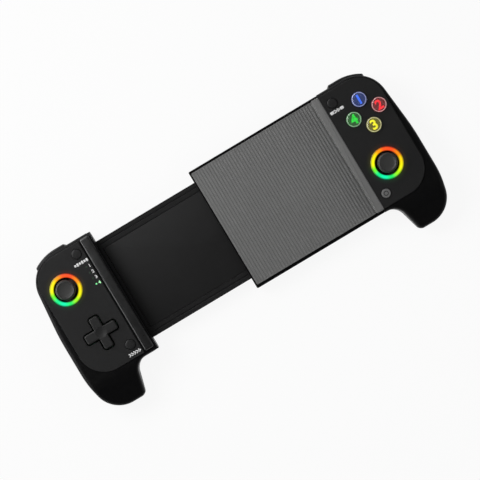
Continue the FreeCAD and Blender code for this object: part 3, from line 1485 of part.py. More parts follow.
def check_and_write():
    """Stop on any failed object, then write every finished piece."""
    doc.recompute()
    for item in doc.Objects:
        if "Invalid" in item.State or "Error" in item.State:
            raise RuntimeError(f"{item.Name} failed: {item.State}")
    os.makedirs("parts", exist_ok=True)
    for item in finished:
        shape = item.Shape
        if shape.isNull() or not shape.isValid() or not shape.Solids:
            raise RuntimeError(f"{item.Label} has no sound solid")
        shape.exportStep(f"parts/{item.Label}.step")
    print(len(finished), "pieces written")


fill_sheet()
bracket()
phone_pad()
slide_plate()
slide_root_screws()
case(RIGHT, "right", "right_inner", "right_stick_x", "right_stick_y")
case(LEFT, "left", "left_inner", "left_stick_x", "left_stick_y")
clamp_pieces()
for one_side, one_name in ((RIGHT, "right"), (LEFT, "left")):
    shoulder_pieces(one_side, one_name)
stick(RIGHT, "right_stick", "right_stick_x", "right_stick_y")
stick(LEFT, "left_stick", "left_stick_x", "left_stick_y")
for button in BUTTONS:
    push_button(*button)
directional_pad()
lights()
boards()
mats()
charging_port()
inside_parts()
check_and_write()
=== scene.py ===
"""Looks of the telescopic game controller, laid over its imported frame.

The axes are the frame's own: X along the length, Y towards the shoulder buttons, Z out of
the face. Places and rings are written in millimetres, which MM turns into metres. The
settings, the shaders' patterns and the stage are in metres.
"""
import math

import bpy
from bpy.props import FloatProperty, FloatVectorProperty, IntProperty, PointerProperty
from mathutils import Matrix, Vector


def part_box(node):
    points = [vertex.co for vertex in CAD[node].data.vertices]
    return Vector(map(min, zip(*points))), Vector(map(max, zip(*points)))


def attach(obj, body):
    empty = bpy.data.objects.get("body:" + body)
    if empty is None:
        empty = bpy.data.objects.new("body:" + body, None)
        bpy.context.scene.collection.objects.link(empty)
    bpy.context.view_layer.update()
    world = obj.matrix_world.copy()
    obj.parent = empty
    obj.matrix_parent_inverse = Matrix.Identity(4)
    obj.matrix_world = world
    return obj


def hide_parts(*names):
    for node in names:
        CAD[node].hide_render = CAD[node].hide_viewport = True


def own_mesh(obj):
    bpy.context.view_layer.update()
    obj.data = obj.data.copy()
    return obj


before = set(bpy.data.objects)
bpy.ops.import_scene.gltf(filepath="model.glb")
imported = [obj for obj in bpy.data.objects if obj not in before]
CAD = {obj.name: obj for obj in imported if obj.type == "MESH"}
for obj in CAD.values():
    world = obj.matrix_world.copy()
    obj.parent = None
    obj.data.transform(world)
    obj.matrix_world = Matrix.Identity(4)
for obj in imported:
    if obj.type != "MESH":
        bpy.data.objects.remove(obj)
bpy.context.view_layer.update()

bl_info = {
    "name": "Telescopic Game Controller",
    "version": (1, 0, 0),
    "blender": (4, 5, 0),
    "location": "View3D > Sidebar > Controller",
    "description": "Builds the visible pieces and finishes of a stretching game controller",
    "category": "Object",
}

MM = 0.001
SAME_PLACE = 1e-6
MERGE_REACH = 2e-6

SIDES = {"left": "slider", "right": "base"}
FACE_TOP = 26.0
MARK_FOOT = FACE_TOP - 0.03
FLANGE_FOOT = 22.0
FLANGE_TOP = 22.9

STICKS = {"left": (-105.2, 26.9), "right": (99.3, -6.6)}
STICK_PIVOT = 17.5
DUST_DOME_RADIUS = 6.6
NOTCH_FOOT = 30.3
NOTCH_TOP = 31.0
RING_CORE = 8.55
RING_OUTSIDE = 9.8

FACE_BUTTONS = {
    # piece: place, numeral, colour name
    "button_top": ((104.3, 34.8), "1", "blue"),
    "button_right": ((113.1, 26.0), "2", "red"),
    "button_bottom": ((104.3, 17.2), "3", "yellow"),
    "button_left": ((95.5, 26.0), "4", "green"),
}
MENU_BUTTONS = {
    "button_select": (-88.8, 42.1),
    "button_turbo": (-88.85, -20.9),
    "button_start": (89.4, 41.0),
}
HOME_PLACE = (89.4, -21.95)
SELECT_MARK = (-89.1, 36.2)
TURBO_MARK = (-89.1, -26.6)
START_MARK = (89.7, 35.8)
LIGHT_X = -87.6
LIGHT_YS = (32.31, 28.44, 24.57, 20.7)
LIGHT_ON = 4
NUMBER_X = -85.5
RIB_PITCH = 1.9
PAD_RIM = 0.8

CAMERA_PLACE = (-0.00022, -0.00097, 1.626)
CAMERA_TURN = -30.9


class ControllerSizes(bpy.types.PropertyGroup):
    """Sizes of the modelled pieces that the solids leave open."""
    panel_edge: FloatProperty(
        name="Panel Edge", description="Easing of the face panels' holes",
        default=0.00008, min=0.00002, max=0.00012, precision=5, unit="LENGTH")
    bracket_ease: FloatProperty(
        name="Bracket Edge", description="Easing of the bracket's and slide plate's edges",
        default=0.00022, min=0.00002, max=0.0004, precision=5, unit="LENGTH")
    panel_ease: FloatProperty(
        name="Panel Rim", description="Easing of the face panels' outer rim",
        default=0.0004, min=0.0001, max=0.0005, precision=5, unit="LENGTH")
    control_ease: FloatProperty(
        name="Control Edge", description="Easing of the direction pad and shoulder pieces",
        default=0.0004, min=0.00005, max=0.0006, precision=5, unit="LENGTH")
    rib_count: IntProperty(
        name="Pad Ribs", description="Ribs across the phone pad", default=44, min=4, max=80)
    rib_width: FloatProperty(
        name="Rib Width", description="Width of one rib of the phone pad",
        default=0.0012, min=0.0004, max=0.0018, precision=5, unit="LENGTH")
    grip_notches: IntProperty(
        name="Cap Notches", description="Notches round the rim of a thumb stick's cap",
        default=36, min=8, max=60)
    mark_depth: FloatProperty(
        name="Mark Depth", description="Thickness of the printed marks",
        default=0.00006, min=0.00002, max=0.0002, precision=5, unit="LENGTH")
    floor_reach: FloatProperty(
        name="Floor Reach", description="Half the width of the pale floor",
        default=3.0, min=0.5, max=10.0, unit="LENGTH")


class ControllerColours(bpy.types.PropertyGroup):
    """Colours and light levels of the finishes."""
    case: FloatVectorProperty(
        name="Case", description="Matt black of the grips and shells",
        default=(0.0042, 0.0042, 0.0044), subtype="COLOR", min=0.0, max=1.0)
    panel: FloatVectorProperty(
        name="Face Panel", description="Satin black of the face panels",
        default=(0.0155, 0.0155, 0.0157), subtype="COLOR", min=0.0, max=1.0)
    slide: FloatVectorProperty(
        name="Slide", description="Black of the telescoping plate",
        default=(0.0136, 0.0136, 0.0138), subtype="COLOR", min=0.0, max=1.0)
    pad: FloatVectorProperty(
        name="Phone Pad", description="Grey of the ribbed phone pad",
        default=(0.165, 0.165, 0.163), subtype="COLOR", min=0.0, max=1.0)
    blue: FloatVectorProperty(
        name="Top Button", description="Glyph colour of the top button",
        default=(0.03, 0.12, 0.72), subtype="COLOR", min=0.0, max=1.0)
    red: FloatVectorProperty(
        name="Right Button", description="Glyph colour of the right button",
        default=(0.72, 0.012, 0.02), subtype="COLOR", min=0.0, max=1.0)
    yellow: FloatVectorProperty(
        name="Bottom Button", description="Glyph colour of the bottom button",
        default=(0.66, 0.62, 0.01), subtype="COLOR", min=0.0, max=1.0)
    green: FloatVectorProperty(
        name="Left Button", description="Glyph colour of the left button",
        default=(0.01, 0.5, 0.03), subtype="COLOR", min=0.0, max=1.0)
    ring_level: FloatProperty(
        name="Ring Brightness", description="Light given off by the rings round the sticks",
        default=1.0, min=0.0, max=10.0)
    # Strength of the coloured glow painted on each face panel round its ring, standing for the
    # ring's light.
    glow_level: FloatProperty(
        name="Ring Glow", description="Coloured light spread on the panel round a ring",
        default=0.03, min=0.0, max=1.0)


# Editing helpers

def deselect():
    """Leave edit mode and deselect every object."""
    if bpy.context.object and bpy.context.object.mode != "OBJECT":
        bpy.ops.object.mode_set(mode="OBJECT")
    bpy.ops.object.select_all(action="DESELECT")


def take(piece):
    """Make one piece the only selected and the active object."""
    deselect()
    piece.select_set(True)
    bpy.context.view_layer.objects.active = piece


def settle(piece, name):
    """Put an object's place, turn and scale into its mesh and name it."""
    take(piece)
    bpy.ops.object.transform_apply(location=True, rotation=True, scale=True)
    piece.name = name
    piece.data.name = name
    return piece


def edit(piece, kind, wanted):
    """Open a piece in edit mode with only the wanted faces or edges selected."""
    take(piece)
    bpy.context.tool_settings.mesh_select_mode = (kind == "VERT", kind == "EDGE", kind == "FACE")
    mesh = piece.data
    parts = {"VERT": mesh.vertices, "EDGE": mesh.edges, "FACE": mesh.polygons}
    chosen = [bool(wanted(mesh, item)) for item in parts[kind]]
    for group in parts.values():
        group.foreach_set("select", [False] * len(group))
    parts[kind].foreach_set("select", chosen)
    if not any(chosen):
        raise RuntimeError(f"{piece.name}: nothing to edit was found")
    bpy.ops.object.mode_set(mode="EDIT")


def edit_all(piece):
    """Open a piece in edit mode with everything selected."""
    take(piece)
    bpy.ops.object.mode_set(mode="EDIT")
    bpy.ops.mesh.select_mode(type="VERT")
    bpy.ops.mesh.select_all(action="SELECT")


def ends(mesh, edge):
    """The two end points of an edge."""
    return [mesh.vertices[index].co for index in edge.vertices]


def upright(mesh, edge):
    """True for an edge that runs along Z."""
    a, b = ends(mesh, edge)
    return abs(a.x - b.x) < SAME_PLACE and abs(a.y - b.y) < SAME_PLACE


def at_height(height):
    """A test for edges that lie level at one height."""
    def wanted(mesh, edge):
        return all(abs(point.z - height) < SAME_PLACE for point in ends(mesh, edge))
    return wanted


def smooth(piece, degrees=35.0):
    """Smooth shading that keeps the edges sharper than an angle."""
    take(piece)
    bpy.ops.object.shade_smooth_by_angle(angle=math.radians(degrees))


def dressed(piece, body, slot, finish, *nodes):
    """Give a finished piece its material and its body, and hide the solids that it stands for."""
    piece.data.materials.clear()
    piece.data.materials.append(finish)
    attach(piece, body)
    if nodes:
        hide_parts(*nodes)
    return piece


def eased_copy(node, name, width=0.0, sharpness=38.0, rim=None, rim_width=0.0):
    """A copy of a solid with its points merged and its sharp edges eased.

    rim picks edges that are eased first and wider than the rest. With no width, the points
    are merged and no edge is eased.
    """
    piece = bpy.data.objects.new(name, CAD[node].data.copy())
    bpy.context.scene.collection.objects.link(piece)
    piece.data.name = name
    take(piece)
    bpy.ops.mesh.customdata_custom_splitnormals_clear()
    edit_all(piece)
    bpy.ops.mesh.remove_doubles(threshold=MERGE_REACH)
    if width:
        bpy.ops.mesh.dissolve_limited(angle_limit=math.radians(0.4))
        if rim:
            deselect()
            edit(piece, "EDGE", rim(piece.data))
            bpy.ops.mesh.bevel(offset=rim_width, segments=4, clamp_overlap=False)
        bpy.ops.mesh.select_mode(type="EDGE")
        bpy.ops.mesh.select_all(action="DESELECT")
        bpy.ops.mesh.edges_select_sharp(sharpness=math.radians(sharpness))
        bpy.ops.mesh.bevel(offset=width, segments=2, clamp_overlap=False)
    deselect()
    smooth(piece)
    bpy.ops.object.modifier_add(type="WEIGHTED_NORMAL")
    piece.modifiers[-1].keep_sharp = True
    bpy.ops.object.modifier_apply(modifier=piece.modifiers[-1].name)
    return piece


def outer_rim(height, inner):
    """A picker of the edges at one height that go round a form's outside, beyond an X."""
    slack = 2e-5

    def pick(mesh):
        level = [point.co for point in mesh.vertices if abs(point.co.z - height) < SAME_PLACE]

        def wanted(mesh, edge):
            a, b = ends(mesh, edge)
            if max(abs(a.z - height), abs(b.z - height)) > SAME_PLACE:
                return False
            if min(abs(a.x), abs(b.x)) < inner:
                return False
            along = (b - a).normalized()
            across = Vector((-along.y, along.x, 0))
            sides = [(point - a).dot(across) for point in level]
            return min(sides) > -slack or max(sides) < slack
        return wanted
    return pick


def inside(node):
    """The two corners of a solid's box, in millimetres."""
    return [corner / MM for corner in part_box(node)]


def soft_block(name, low, high, corner, top, corner_steps, top_steps):
    """A block in millimetres with round upright corners and a round top rim."""
    middle = [(a + b) / 2 * MM for a, b in zip(low, high)]
    size = [(b - a) * MM for a, b in zip(low, high)]
    deselect()
    bpy.ops.mesh.primitive_cube_add(size=1, location=middle, scale=size)
    piece = settle(bpy.context.object, name)
    edit(piece, "EDGE", upright)
    bpy.ops.mesh.bevel(offset=corner * MM, segments=corner_steps)
    deselect()
    edit(piece, "EDGE", at_height(high[2] * MM))
    bpy.ops.mesh.bevel(offset=top * MM, segments=top_steps)
    deselect()
    smooth(piece, 50.0)
    return piece


def turned(name, centre, rings, sides=96):
    """A round piece: a circle drawn through rings of radius and height in millimetres."""
    x, y = (part * MM for part in centre)
    radius, height = rings[0]
    hollow = rings[0] == rings[-1]
    deselect()
    bpy.ops.mesh.primitive_circle_add(
        vertices=sides, radius=radius * MM, fill_type="NOTHING" if hollow else "NGON",
        location=(x, y, height * MM))
    piece = settle(bpy.context.object, name)
    edit_all(piece)
    for wider, higher in rings[1:]:
        bpy.ops.mesh.extrude_region_move(
            TRANSFORM_OT_translate={"value": (0, 0, (higher - height) * MM)})
        share = wider / radius
        bpy.ops.transform.resize(value=(share, share, 1), center_override=(x, y, higher * MM))
        radius, height = wider, higher
    bpy.ops.mesh.select_all(action="SELECT")
    bpy.ops.mesh.remove_doubles(threshold=MERGE_REACH)
    bpy.ops.mesh.normals_make_consistent(inside=False)
    deselect()
    smooth(piece)
    return piece


def arc_rings(centre_r, centre_z, radius, start, end, steps):
    """Rings along an arc, from one angle to another in degrees above the outward level."""
    angles = [math.radians(start + (end - start) * step / steps) for step in range(steps + 1)]
    return [(centre_r + radius * math.cos(angle), centre_z + radius * math.sin(angle))
            for angle in angles]


def joined(name, pieces):
    """Several objects made one."""
    deselect()
    for piece in pieces:
        piece.select_set(True)
    bpy.context.view_layer.objects.active = pieces[0]
    bpy.ops.object.join()
    return settle(bpy.context.object, name)


def copied(piece, name, move):
    """Another object of the same form with its own mesh, moved by millimetres."""
    other = bpy.data.objects.new(name, piece.data.copy())
    bpy.context.scene.collection.objects.link(other)
    other.location = Vector(move) * MM
    return settle(other, name)


def numeral(name, text, centre, height, z, depth, weight):
    """A flat numeral lying on a face, raised by a depth in metres."""
    height_of_font = 0.72
    middle = Vector((centre[0] * MM, centre[1] * MM, z * MM))
    deselect()
    bpy.ops.object.text_add(location=middle)
    drawn = bpy.context.object
    drawn.data.body = text
    drawn.data.align_x = "CENTER"
    drawn.data.align_y = "CENTER"
    drawn.data.size = height * MM / height_of_font
    drawn.data.offset = weight * MM
    drawn.data.resolution_u = 6
    bpy.ops.object.convert(target="MESH")
    piece = settle(bpy.context.object, name)
    places = [point.co for point in piece.data.vertices]
    low, high = (Vector([pick(place[axis] for place in places) for axis in range(3)])
                 for pick in (min, max))
    shift = middle - (low + high) / 2
    edit_all(piece)
    bpy.ops.mesh.remove_doubles(threshold=SAME_PLACE)
    bpy.ops.transform.translate(value=(shift.x, shift.y, 0))
    bpy.ops.mesh.extrude_region_move(TRANSFORM_OT_translate={"value": (0, 0, depth)})
    bpy.ops.mesh.select_all(action="SELECT")
    bpy.ops.mesh.normals_make_consistent(inside=False)
    deselect()
    smooth(piece, 30.0)
    return piece


# Shader node groups

def open_group(name, inputs, outputs):
    """A shader node group with named inputs and outputs, and its two end nodes."""
    tree = bpy.data.node_groups.new(name, "ShaderNodeTree")
    for label, kind, default in inputs:
        socket = tree.interface.new_socket(name=label, in_out="INPUT", socket_type=kind)
        if default is not None:
            socket.default_value = default
    for label, kind in outputs:
        tree.interface.new_socket(name=label, in_out="OUTPUT", socket_type=kind)
    return tree, tree.nodes.new("NodeGroupInput"), tree.nodes.new("NodeGroupOutput")


def feed(tree, socket, item):
    """Set a number or colour on a socket, or link another socket to it."""
    if isinstance(item, (int, float, tuple)):
        socket.default_value = item
    else:
        tree.links.new(item, socket)


def noise(tree, source, scale, detail=2.0, rough=0.5):
    """A noise texture read at a place."""
    node = tree.nodes.new("ShaderNodeTexNoise")
    node.inputs["Detail"].default_value = detail
    node.inputs["Roughness"].default_value = rough
    feed(tree, node.inputs["Vector"], source)
    feed(tree, node.inputs["Scale"], scale)
    return node.outputs["Fac"]


def maths(tree, operation, *items):
    """One arithmetic step between sockets or numbers."""
    node = tree.nodes.new("ShaderNodeMath")
    node.operation = operation
    for place, item in enumerate(items):
        feed(tree, node.inputs[place], item)
    return node.outputs[0]


def between(tree, source, from_low, from_high, to_low, to_high):
    """A socket's range stretched on to another, clamped."""
    node = tree.nodes.new("ShaderNodeMapRange")
    for label, number in (("From Min", from_low), ("From Max", from_high),
                          ("To Min", to_low), ("To Max", to_high)):
        node.inputs[label].default_value = number
    feed(tree, node.inputs["Value"], source)
    return node.outputs["Result"]


def brightened(tree, colour, level):
    """A colour made lighter or darker by a level that changes over the surface."""
    node = tree.nodes.new("ShaderNodeHueSaturation")
    feed(tree, node.inputs["Color"], colour)
    feed(tree, node.inputs["Value"], level)
    return node.outputs["Color"]


def blended(tree, share, one, other):
    """Two colours mixed by a share."""
    node = tree.nodes.new("ShaderNodeMix")
    node.data_type = "RGBA"
    for place, item in ((0, share), (6, one), (7, other)):
        feed(tree, node.inputs[place], item)
    return node.outputs[2]


def switched(tree, share, one, other):
    """One of two levels, by a share of 0 or 1."""
    node = tree.nodes.new("ShaderNodeMix")
    for place, item in ((0, share), (2, one), (3, other)):
        feed(tree, node.inputs[place], item)
    return node.outputs[0]


def patterned(tree, source, turn, scale):
    """A place turned about Z and stretched, for a pattern of lines."""
    node = tree.nodes.new("ShaderNodeMapping")
    node.inputs["Rotation"].default_value = (0.0, 0.0, turn)
    node.inputs["Scale"].default_value = scale
    feed(tree, node.inputs["Vector"], source)
    return node.outputs["Vector"]


def moulded_surface():
    """Fine moulded grain with slow changes of shade and gloss."""
    name = "Moulded Surface"
    if name in bpy.data.node_groups:
        return bpy.data.node_groups[name]
    tree, given, result = open_group(name, [
        ("Vector", "NodeSocketVector", None),
        ("Colour", "NodeSocketColor", (0.02, 0.02, 0.02, 1)),
        ("Shade Spread", "NodeSocketFloat", 0.15),
        ("Roughness", "NodeSocketFloat", 0.5),
        ("Gloss Spread", "NodeSocketFloat", 0.06),
        ("Grain Scale", "NodeSocketFloat", 3500.0),
    ], [("Colour", "NodeSocketColor"), ("Roughness", "NodeSocketFloat"),
        ("Height", "NodeSocketFloat")])
    place = given.outputs["Vector"]
    slow = noise(tree, place, 45.0, 3.0)
    middle = noise(tree, place, 420.0, 2.0)
    fine = noise(tree, place, given.outputs["Grain Scale"], 2.0, 0.6)
    mixed = maths(tree, "ADD", maths(tree, "MULTIPLY", slow, 0.65),
                  maths(tree, "MULTIPLY", middle, 0.35))
    level = maths(tree, "MULTIPLY_ADD", maths(tree, "SUBTRACT", mixed, 0.5),
                  maths(tree, "MULTIPLY", given.outputs["Shade Spread"], 4.0), 1.0)
    gloss = maths(tree, "MULTIPLY_ADD", maths(tree, "SUBTRACT", middle, 0.5),
                  maths(tree, "MULTIPLY", given.outputs["Gloss Spread"], 4.0),
                  given.outputs["Roughness"])
    feed(tree, result.inputs["Colour"], brightened(tree, given.outputs["Colour"], level))
    feed(tree, result.inputs["Roughness"], gloss)
    feed(tree, result.inputs["Height"], fine)
    return tree


def dust_and_scuffs():
    """Sparse pale specks and hairline scuffs that dull a surface a little."""
    name = "Dust And Scuffs"
    if name in bpy.data.node_groups:
        return bpy.data.node_groups[name]
    tree, given, result = open_group(name, [
        ("Vector", "NodeSocketVector", None),
        ("Colour", "NodeSocketColor", (0.02, 0.02, 0.02, 1)),
        ("Roughness", "NodeSocketFloat", 0.5),
        ("Dust", "NodeSocketFloat", 0.3),
        ("Scuffs", "NodeSocketFloat", 0.1),
    ], [("Colour", "NodeSocketColor"), ("Roughness", "NodeSocketFloat")])
    place = given.outputs["Vector"]
    specks = tree.nodes.new("ShaderNodeTexVoronoi")
    specks.inputs["Scale"].default_value = 650.0
    feed(tree, specks.inputs["Vector"], place)
    near = between(tree, specks.outputs["Distance"], 0.04, 0.09, 1.0, 0.0)
    patches = between(tree, noise(tree, place, 160.0), 0.55, 0.7, 0.0, 1.0)
    mask = maths(tree, "MULTIPLY", maths(tree, "MULTIPLY", near, patches), given.outputs["Dust"])
    dusty = blended(tree, mask, given.outputs["Colour"], (0.16, 0.155, 0.15, 1.0))
    stretched = patterned(tree, place, 0.7, (60.0, 2600.0, 400.0))
    lines = between(tree, noise(tree, stretched, 1.0, 1.0), 0.62, 0.7, 0.0, 1.0)
    scuffed = maths(tree, "MULTIPLY_ADD", lines, given.outputs["Scuffs"],
                    given.outputs["Roughness"])
    feed(tree, result.inputs["Colour"], dusty)
    feed(tree, result.inputs["Roughness"], maths(tree, "MULTIPLY_ADD", mask, 0.3, scuffed))
    return tree


def hue_circle():
    """Colours that run round a centre, as the lights under a ring do."""
    name = "Hue Circle"
    if name in bpy.data.node_groups:
        return bpy.data.node_groups[name]
    tree, given, result = open_group(
        name, [("Vector", "NodeSocketVector", None)],
        [("Colour", "NodeSocketColor"), ("Distance", "NodeSocketFloat")])
    round_way = tree.nodes.new("ShaderNodeTexGradient")
    round_way.gradient_type = "RADIAL"
    feed(tree, round_way.inputs["Vector"], given.outputs["Vector"])
    ramp = tree.nodes.new("ShaderNodeValToRGB")
    ramp.color_ramp.interpolation = "EASE"
    stops = [
        # share of a turn from -X, colour
        (0.0, (0.15, 1.0, 0.02)),
        (0.06, (0.0, 0.9, 0.25)),
        (0.14, (0.0, 0.95, 0.45)),
        (0.22, (0.01, 0.85, 0.12)),
        (0.29, (0.35, 0.95, 0.01)),
        (0.37, (0.95, 0.95, 0.0)),
        (0.46, (1.0, 0.72, 0.0)),
        (0.53, (1.0, 0.25, 0.0)),
        (0.62, (1.0, 0.07, 0.01)),
        (0.7, (1.0, 0.09, 0.01)),
        (0.77, (1.0, 0.33, 0.0)),
        (0.84, (1.0, 0.8, 0.0)),
        (0.93, (0.95, 1.0, 0.0)),
        (1.0, (0.15, 1.0, 0.02)),
    ]
    elements = ramp.color_ramp.elements
    for element, (place, colour) in zip((elements[0], elements[1]), (stops[0], stops[-1])):
        element.position = place
        element.color = (*colour, 1)
    for place, colour in stops[1:-1]:
        elements.new(place).color = (*colour, 1)
    feed(tree, ramp.inputs["Fac"], round_way.outputs["Fac"])
    feed(tree, result.inputs["Colour"], ramp.outputs["Color"])
    flat = tree.nodes.new("ShaderNodeVectorMath")
    flat.operation = "MULTIPLY"
    flat.inputs[1].default_value = (1.0, 1.0, 0.0)
    feed(tree, flat.inputs[0], given.outputs["Vector"])
    length = tree.nodes.new("ShaderNodeVectorMath")
    length.operation = "LENGTH"
    feed(tree, length.inputs[0], flat.outputs["Vector"])
    feed(tree, result.inputs["Distance"], length.outputs["Value"])
    return tree


def brushed_metal():
    """Fine lines along X that vary a metal's gloss."""
    name = "Brushed Metal"
    if name in bpy.data.node_groups:
        return bpy.data.node_groups[name]
    tree, given, result = open_group(name, [
        ("Vector", "NodeSocketVector", None),
        ("Colour", "NodeSocketColor", (0.5, 0.5, 0.5, 1)),
        ("Roughness", "NodeSocketFloat", 0.3),
    ], [("Colour", "NodeSocketColor"), ("Roughness", "NodeSocketFloat"),
        ("Height", "NodeSocketFloat")])
    stretched = patterned(tree, given.outputs["Vector"], 0.0, (300.0, 5000.0, 5000.0))
    lines = noise(tree, stretched, 1.0, 2.0)
    shade = between(tree, lines, 0.3, 0.7, 0.85, 1.12)
    gloss = maths(tree, "MULTIPLY_ADD", maths(tree, "SUBTRACT", lines, 0.5), 0.3,
                  given.outputs["Roughness"])
    feed(tree, result.inputs["Colour"], brightened(tree, given.outputs["Colour"], shade))
    feed(tree, result.inputs["Roughness"], gloss)
    feed(tree, result.inputs["Height"], lines)
    return tree


# Finishes

def blank_finish(name):
    """A new material, its node tree, its shader and the place that patterns read."""
    material = bpy.data.materials.new(name)
    material.use_nodes = True
    tree = material.node_tree
    place = tree.nodes.new("ShaderNodeTexCoord")
    return material, tree, tree.nodes["Principled BSDF"], place.outputs["Object"]


def placed_group(tree, group, source, **values):
    """A node group put in a material with its own values."""
    node = tree.nodes.new("ShaderNodeGroup")
    node.node_tree = group
    feed(tree, node.inputs["Vector"], source)
    for label, value in values.items():
        feed(tree, node.inputs[label.replace("_", " ")], value)
    return node


def raised_by(tree, shader, height, strength, distance):
    """Bump from a height that changes over the surface."""
    bump = tree.nodes.new("ShaderNodeBump")
    bump.inputs["Strength"].default_value = strength
    bump.inputs["Distance"].default_value = distance
    feed(tree, bump.inputs["Height"], height)
    feed(tree, shader.inputs["Normal"], bump.outputs["Normal"])


def coated(tree, shader, pattern):
    """A pattern's colour and roughness led to the shader."""
    feed(tree, shader.inputs["Base Color"], pattern.outputs["Colour"])
    feed(tree, shader.inputs["Roughness"], pattern.outputs["Roughness"])


def moulded_finish(name, colour, roughness, grain=3500.0, bump=0.35, shade=0.14,
                   dust=0.3, scuffs=0.08, specular=0.5, distance=0.00004):
    """Moulded plastic or rubber: grain, changes of shade, dust and light scuffs."""
    if name in bpy.data.materials:
        return bpy.data.materials[name]
    material, tree, shader, place = blank_finish(name)
    surface = placed_group(tree, moulded_surface(), place, Colour=(*colour, 1), Shade_Spread=shade,
                           Roughness=roughness, Gloss_Spread=0.05, Grain_Scale=grain)
    worn = placed_group(tree, dust_and_scuffs(), place, Colour=surface.outputs["Colour"],
                        Roughness=surface.outputs["Roughness"], Dust=dust, Scuffs=scuffs)
    coated(tree, shader, worn)
    raised_by(tree, shader, surface.outputs["Height"], bump, distance)
    shader.inputs["Specular IOR Level"].default_value = specular
    return material


def colours():
    """The colours that the user may change."""
    return bpy.context.scene.controller_colours


def sizes():
    """The sizes that the user may change."""
    return bpy.context.scene.controller_sizes


def case_black():
    """Matt grained black of the grips, shells and bracket."""
    return moulded_finish("Case Black", tuple(colours().case), 0.38, grain=4200.0, bump=0.3,
                          shade=0.1, dust=0.15, specular=0.09)


def slide_black():
    """Smooth satin black of the telescoping plate."""
    return moulded_finish("Slide Black", tuple(colours().slide), 0.5, grain=6000.0, bump=0.15,
                          shade=0.08, scuffs=0.1, dust=0.15, specular=0.12)


def control_black():
    """Satin black of the small buttons, stems and shoulder pieces."""
    return moulded_finish("Control Black", (0.016, 0.016, 0.0163), 0.42, grain=5200.0, bump=0.12,
                          shade=0.08, dust=0.15, specular=0.22)


def cross_black():
    """Dull black of the direction pad."""
    return moulded_finish("Cross Black", (0.0175, 0.0175, 0.0175), 0.5, grain=5200.0, bump=0.12,
                          shade=0.06, dust=0.1, specular=0.2)


def stick_rubber():
    """Soft dark rubber of the stick caps."""
    return moulded_finish("Stick Rubber", (0.034, 0.034, 0.033), 0.5, grain=2600.0, bump=0.3,
                          dust=0.15, specular=0.3)


def clamp_rubber():
    """Dark grey rubber of the clamp bar and phone stop."""
    return moulded_finish("Clamp Rubber", (0.009, 0.009, 0.0093), 0.32, grain=5200.0, bump=0.15,
                          shade=0.1, dust=0.15, specular=0.6)


def pad_grey():
    """Grey silicone of the ribbed phone pad."""
    return moulded_finish("Pad Grey", tuple(colours().pad), 0.66, grain=3000.0, bump=0.3,
                          shade=0.05, dust=0.1, specular=0.25)


def home_grey():
    """Pale satin grey of the home button."""
    return moulded_finish("Home Grey", (0.15, 0.15, 0.15), 0.4, grain=5200.0, bump=0.1,
                          shade=0.06)


def inner_plastic():
    """Plain moulded plastic of the hidden parts."""
    return moulded_finish("Inner Plastic", (0.05, 0.05, 0.05), 0.5)


def board_green():
    """Solder resist of the circuit boards."""
    return moulded_finish("Board Green", (0.01, 0.09, 0.04), 0.35, grain=900.0, bump=0.2)


def dome_rubber():
    """Pale silicone of the dome mats."""
    return moulded_finish("Dome Rubber", (0.25, 0.25, 0.26), 0.6, specular=0.35)


def battery_foil():
    """Foil pouch of the battery."""
    return moulded_finish("Battery Foil", (0.3, 0.3, 0.32), 0.3, grain=250.0, bump=0.6,
                          distance=0.0002)


def mark_white():
    """Soft white print of the marks."""
    return moulded_finish("Mark White", (0.78, 0.78, 0.78), 0.5, grain=6000.0, bump=0.1,
                          shade=0.05, dust=0.0)


def steel():
    """Plated steel of screws, pins, springs and the socket."""
    if "Steel" in bpy.data.materials:
        return bpy.data.materials["Steel"]
    material, tree, shader, place = blank_finish("Steel")
    surface = placed_group(tree, brushed_metal(), place, Colour=(0.42, 0.42, 0.43, 1),
                           Roughness=0.3)
    coated(tree, shader, surface)
    raised_by(tree, shader, surface.outputs["Height"], 0.2, 0.00002)
    shader.inputs["Metallic"].default_value = 1.0
    return material


def stick_hues(tree, place, side):
    """The hue circle laid round one stick."""
    x, y = STICKS[side]
    node = tree.nodes.new("ShaderNodeMapping")
    node.inputs["Location"].default_value = (-x * MM, -y * MM, 0.0)
    feed(tree, node.inputs["Vector"], place)
    return placed_group(tree, hue_circle(), node.outputs["Vector"])


def panel_black(side):
    """Satin black of a face panel, with a faint coloured glow painted round its stick's ring."""
    name = f"Panel Black {side.title()}"
    if name in bpy.data.materials:
        return bpy.data.materials[name]
    material = moulded_finish(name, tuple(colours().panel), 0.42, grain=5000.0, bump=0.15,
                              shade=0.08, dust=0.15, scuffs=0.06, specular=0.22)
    tree = material.node_tree
    shader = tree.nodes["Principled BSDF"]
    place = [node for node in tree.nodes if node.type == "TEX_COORD"][0].outputs["Object"]
    circle = stick_hues(tree, place, side)
    # Painted light: an emission on the panel, fading outward from the ring, stands for the ring's
    # light falling on it.
    painted_glow_share = between(tree, circle.outputs["Distance"], RING_OUTSIDE * MM, 0.0135, 1.0, 0.0)
    painted_glow_share = maths(tree, "POWER", painted_glow_share, 2.0)
    glow = blended(tree, painted_glow_share, (0.0, 0.0, 0.0, 1.0), circle.outputs["Colour"])
    feed(tree, shader.inputs["Emission Color"], glow)
    shader.inputs["Emission Strength"].default_value = colours().glow_level
    return material


